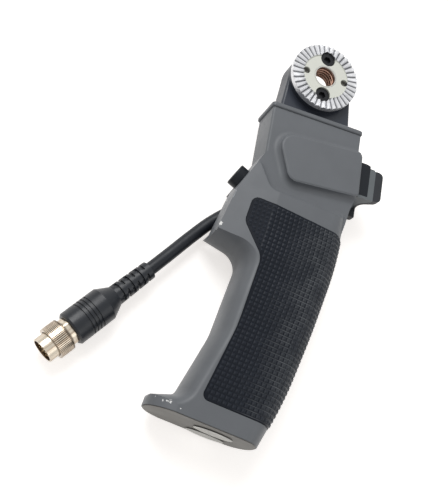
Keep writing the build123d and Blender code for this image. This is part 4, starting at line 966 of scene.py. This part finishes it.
class OBJECT_OT_studs(bpy.types.Operator):
    """Set the rows of small pyramids on the handle's rubber"""
    bl_idname = "object.grip_studs"
    bl_label = "Rubber studs"

    def execute(self, context):
        sizes = settings()[1]
        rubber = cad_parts["rubber_grip"]
        bed = StudBed(rubber, sizes, *self.stud_pattern(context, sizes))
        lows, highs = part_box("rubber_grip")
        for row in range(int((highs.y - lows.y) / sizes.stud_pitch) + STUD_ROWS_OVER):
            bed.seat_row(rubber_section(rubber, STUD_ROW_Y + row * sizes.stud_pitch))
        if len(bed.polygons) < STUDS_LEAST:
            raise RuntimeError("too few studs found a place on the rubber")
        mesh = bpy.data.meshes.new("rubber_studs")
        mesh.from_pydata(bed.vertices, [], bed.polygons)
        piece = bpy.data.objects.new("rubber_studs", mesh)
        context.collection.objects.link(piece)
        hand_over(piece, "rubber_studs", "grip", "Stud rubber")
        return {"FINISHED"}

    def stud_pattern(self, context, sizes):
        """Vertices and faces of one blunt pyramid, without the foot that the rubber hides."""
        clear_selection()
        bpy.ops.mesh.primitive_cone_add(
            vertices=4, radius1=sizes.stud_pitch * STUD_FOOT_SHARE,
            radius2=sizes.stud_pitch * STUD_TIP_SHARE, depth=sizes.stud_height + STUD_SINK,
            rotation=(0, 0, math.pi / 4), location=(0, 0, (sizes.stud_height - STUD_SINK) / 2))
        stud = context.object
        settle(stud)
        pattern = bmesh.new()
        pattern.from_mesh(stud.data)
        bpy.data.objects.remove(stud)
        shape = [v.co.copy() for v in pattern.verts]
        faces = [[v.index for v in f.verts] for f in pattern.faces if f.normal.z > -0.9]
        pattern.free()
        return shape, faces


class OBJECT_OT_button_coil(bpy.types.Operator):
    """Give the coil behind the push button a mesh of its own"""
    bl_idname = "object.grip_button_coil"
    bl_label = "Button coil"

    def execute(self, context):
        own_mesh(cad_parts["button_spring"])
        return {"FINISHED"}


class OBJECT_OT_hairpin(bpy.types.Operator):
    """Copy the rocker's hairpin in place of the CAD spring, with cuts across its legs between the
    rocker's tab and their post
    """
    bl_idname = "object.grip_hairpin"
    bl_label = "Hairpin spring"

    def execute(self, context):
        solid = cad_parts["centering_spring"]
        spring = bpy.data.objects.new("bending_hairpin", solid.data.copy())
        context.collection.objects.link(spring)
        spring.matrix_world = solid.matrix_world
        settle(spring)
        first, last = HAIRPIN_BEND
        bpy.ops.object.mode_set(mode="EDIT")
        bpy.ops.mesh.select_all(action="SELECT")
        bpy.ops.mesh.remove_doubles(threshold=MERGE_REACH)
        for i in range(HAIRPIN_CUTS + 1):
            x = first + (last - first) * i / HAIRPIN_CUTS
            bpy.ops.mesh.select_all(action="SELECT")
            bpy.ops.mesh.bisect(plane_co=(x, 0, 0), plane_no=(1, 0, 0))
        bpy.ops.object.mode_set(mode="OBJECT")
        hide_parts("centering_spring")
        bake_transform(spring)
        return {"FINISHED"}


class OBJECT_OT_labels(bpy.types.Operator):
    """Put the two blank labels on the base"""
    bl_idname = "object.grip_labels"
    bl_label = "Blank labels"

    def execute(self, context):
        upright = Matrix.Rotation(math.pi / 2, 4, "X")
        handle = Matrix.Translation((0, 0, MID_Z)) @ Matrix.Rotation(GRIP_TURN, 4, "Z")
        for name, (x, z), (half_x, half_z) in LABELS:
            clear_selection()
            bpy.ops.mesh.primitive_cylinder_add(vertices=64, radius=1, depth=1, location=(0, 0, 0))
            label = context.object
            label.scale = (half_x, half_z, LABEL_THICKNESS)
            settle(label)
            bevel = label.modifiers.new("Edge", "BEVEL")
            bevel.width = LABEL_EDGE
            bevel.segments = 2
            bpy.ops.object.modifier_apply(modifier=bevel.name)
            label.matrix_world = handle @ Matrix.Translation((x, FOOT_Y, z)) @ upright
            settle(label)
            hand_over(label, name, "grip", "Blank label")
        return {"FINISHED"}


class SCENE_OT_studio(bpy.types.Operator):
    """Lay the floor, light the studio and set up the camera"""
    bl_idname = "scene.grip_studio"
    bl_label = "Studio"

    def execute(self, context):
        studio = settings()[2]
        self.lay_floor(context)
        self.light_room(context, studio)
        for name, place, size, power in LAMPS:
            self.add_lamp(context, name, place, size, getattr(studio, power))
        lens = bpy.data.cameras.new("Camera")
        lens.lens = studio.lens
        lens.sensor_width = 36.0
        lens.clip_start = 0.01
        lens.clip_end = 10.0
        camera = bpy.data.objects.new("Camera", lens)
        context.collection.objects.link(camera)
        turn = Matrix((CAMERA_RIGHT, CAMERA_UP, CAMERA_BACK)).transposed()
        turn = turn.to_quaternion().to_matrix()
        camera.matrix_world = Matrix.Translation(CAMERA_PLACE) @ turn.to_4x4()
        context.scene.camera = camera
        context.scene.view_settings.view_transform = "Standard"
        return {"FINISHED"}

    def lay_floor(self, context):
        """Pale floor that keeps the object's shadow."""
        clear_selection()
        bpy.ops.mesh.primitive_plane_add(size=FLOOR_SIZE,
                                         location=(0, 0, min(TABLE_Z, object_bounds()[0].z)))
        floor = context.object
        floor.name = "floor"
        made = bpy.data.materials.new("Pale floor")
        tree = bare_tree(made)
        place = add_node(tree, "ShaderNodeTexCoord", {}).outputs["Object"]
        tone = group_node(tree, "Colour mottle", {"Vector": place, "Scale": 3.0,
                                                  "Colour": FLOOR_GREY,
                                                  "Second colour": FLOOR_SECOND_GREY})
        matt = add_node(tree, "ShaderNodeBsdfPrincipled", {
            "Base Color": tone["Colour"], "Roughness": 0.9, "Specular IOR Level": 0.1})
        glow = add_node(tree, "ShaderNodeEmission", {"Color": FLOOR_GLOW,
                                                     "Strength": FLOOR_GLOW_STRENGTH})
        both = add_node(tree, "ShaderNodeAddShader", {0: matt.outputs["BSDF"],
                                                      1: glow.outputs["Emission"]})
        self.show_where_seen(tree, "ShaderNodeOutputMaterial", matt.outputs["BSDF"],
                             both.outputs["Shader"])
        floor.data.materials.append(made)
        floor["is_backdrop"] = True

    def show_where_seen(self, tree, output, lit, seen):
        """End a tree with one shader for light, and another where the camera or a gloss looks."""
        path = add_node(tree, "ShaderNodeLightPath", {}).outputs
        looks = maths(tree, "MAXIMUM", path["Is Camera Ray"], path["Is Glossy Ray"])
        looks = maths(tree, "MAXIMUM", looks, path["Is Transmission Ray"])
        mixed = add_node(tree, "ShaderNodeMixShader", {0: looks, 1: lit, 2: seen})
        add_node(tree, output, {"Surface": mixed.outputs["Shader"]})

    def light_room(self, context, studio):
        """White surround, with its light kept at a plain level."""
        world = bpy.data.worlds.new("Studio")
        context.scene.world = world
        tree = bare_tree(world)
        lit, seen = (add_node(tree, "ShaderNodeBackground", {"Color": WHITE, "Strength": strength})
                     for strength in (studio.room_light, 1.0))
        self.show_where_seen(tree, "ShaderNodeOutputWorld", lit.outputs["Background"],
                             seen.outputs["Background"])

    def add_lamp(self, context, name, place, size, power):
        """Square soft lamp at a place, turned to the grip."""
        lamp = bpy.data.lights.new(name, "AREA")
        lamp.shape = "SQUARE"
        lamp.size = size
        lamp.energy = power
        made = bpy.data.objects.new(name, lamp)
        context.collection.objects.link(made)
        made.location = place
        way = Vector(LAMP_AIM) - Vector(place)
        made.rotation_euler = way.to_track_quat("-Z", "Y").to_euler()


class VIEW3D_PT_zoom_grip(bpy.types.Panel):
    """Sizes, colours and steps of the zoom grip's looks"""
    bl_idname = "VIEW3D_PT_zoom_grip"
    bl_label = "Zoom Grip"
    bl_space_type = "VIEW_3D"
    bl_region_type = "UI"
    bl_category = "Zoom Grip"

    def draw(self, context):
        layout = self.layout
        for group, names in ((context.scene.grip_finish, GripFinish.__annotations__),
                             (context.scene.grip_sizes, GripSizes.__annotations__),
                             (context.scene.grip_studio, GripStudio.__annotations__)):
            box = layout.box()
            for name in names:
                box.prop(group, name)
        for operator in OPERATORS:
            layout.operator(operator.bl_idname)


OPERATORS = (
    SCENE_OT_shared_effects,
    OBJECT_OT_finish_frame,
    OBJECT_OT_cord,
    OBJECT_OT_thread,
    OBJECT_OT_studs,
    OBJECT_OT_button_coil,
    OBJECT_OT_hairpin,
    OBJECT_OT_labels,
    SCENE_OT_studio,
)
CLASSES = (GripFinish, GripSizes, GripStudio) + OPERATORS + (VIEW3D_PT_zoom_grip,)


def register():
    """Register the classes and hang the settings on the scene."""
    for one in CLASSES:
        bpy.utils.register_class(one)
    bpy.types.Scene.grip_finish = PointerProperty(type=GripFinish)
    bpy.types.Scene.grip_sizes = PointerProperty(type=GripSizes)
    bpy.types.Scene.grip_studio = PointerProperty(type=GripStudio)


def unregister():
    """Take the settings and the classes away again."""
    del bpy.types.Scene.grip_studio
    del bpy.types.Scene.grip_sizes
    del bpy.types.Scene.grip_finish
    for one in reversed(CLASSES):
        bpy.utils.unregister_class(one)


def main():
    """Register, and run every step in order."""
    register()
    bpy.ops.scene.grip_shared_effects()
    bpy.ops.object.grip_finish_frame()
    bpy.ops.object.grip_cord()
    bpy.ops.object.grip_thread()
    bpy.ops.object.grip_studs()
    bpy.ops.object.grip_button_coil()
    bpy.ops.object.grip_hairpin()
    bpy.ops.object.grip_labels()
    bpy.ops.scene.grip_studio()


if __name__ == "__main__":
    main()
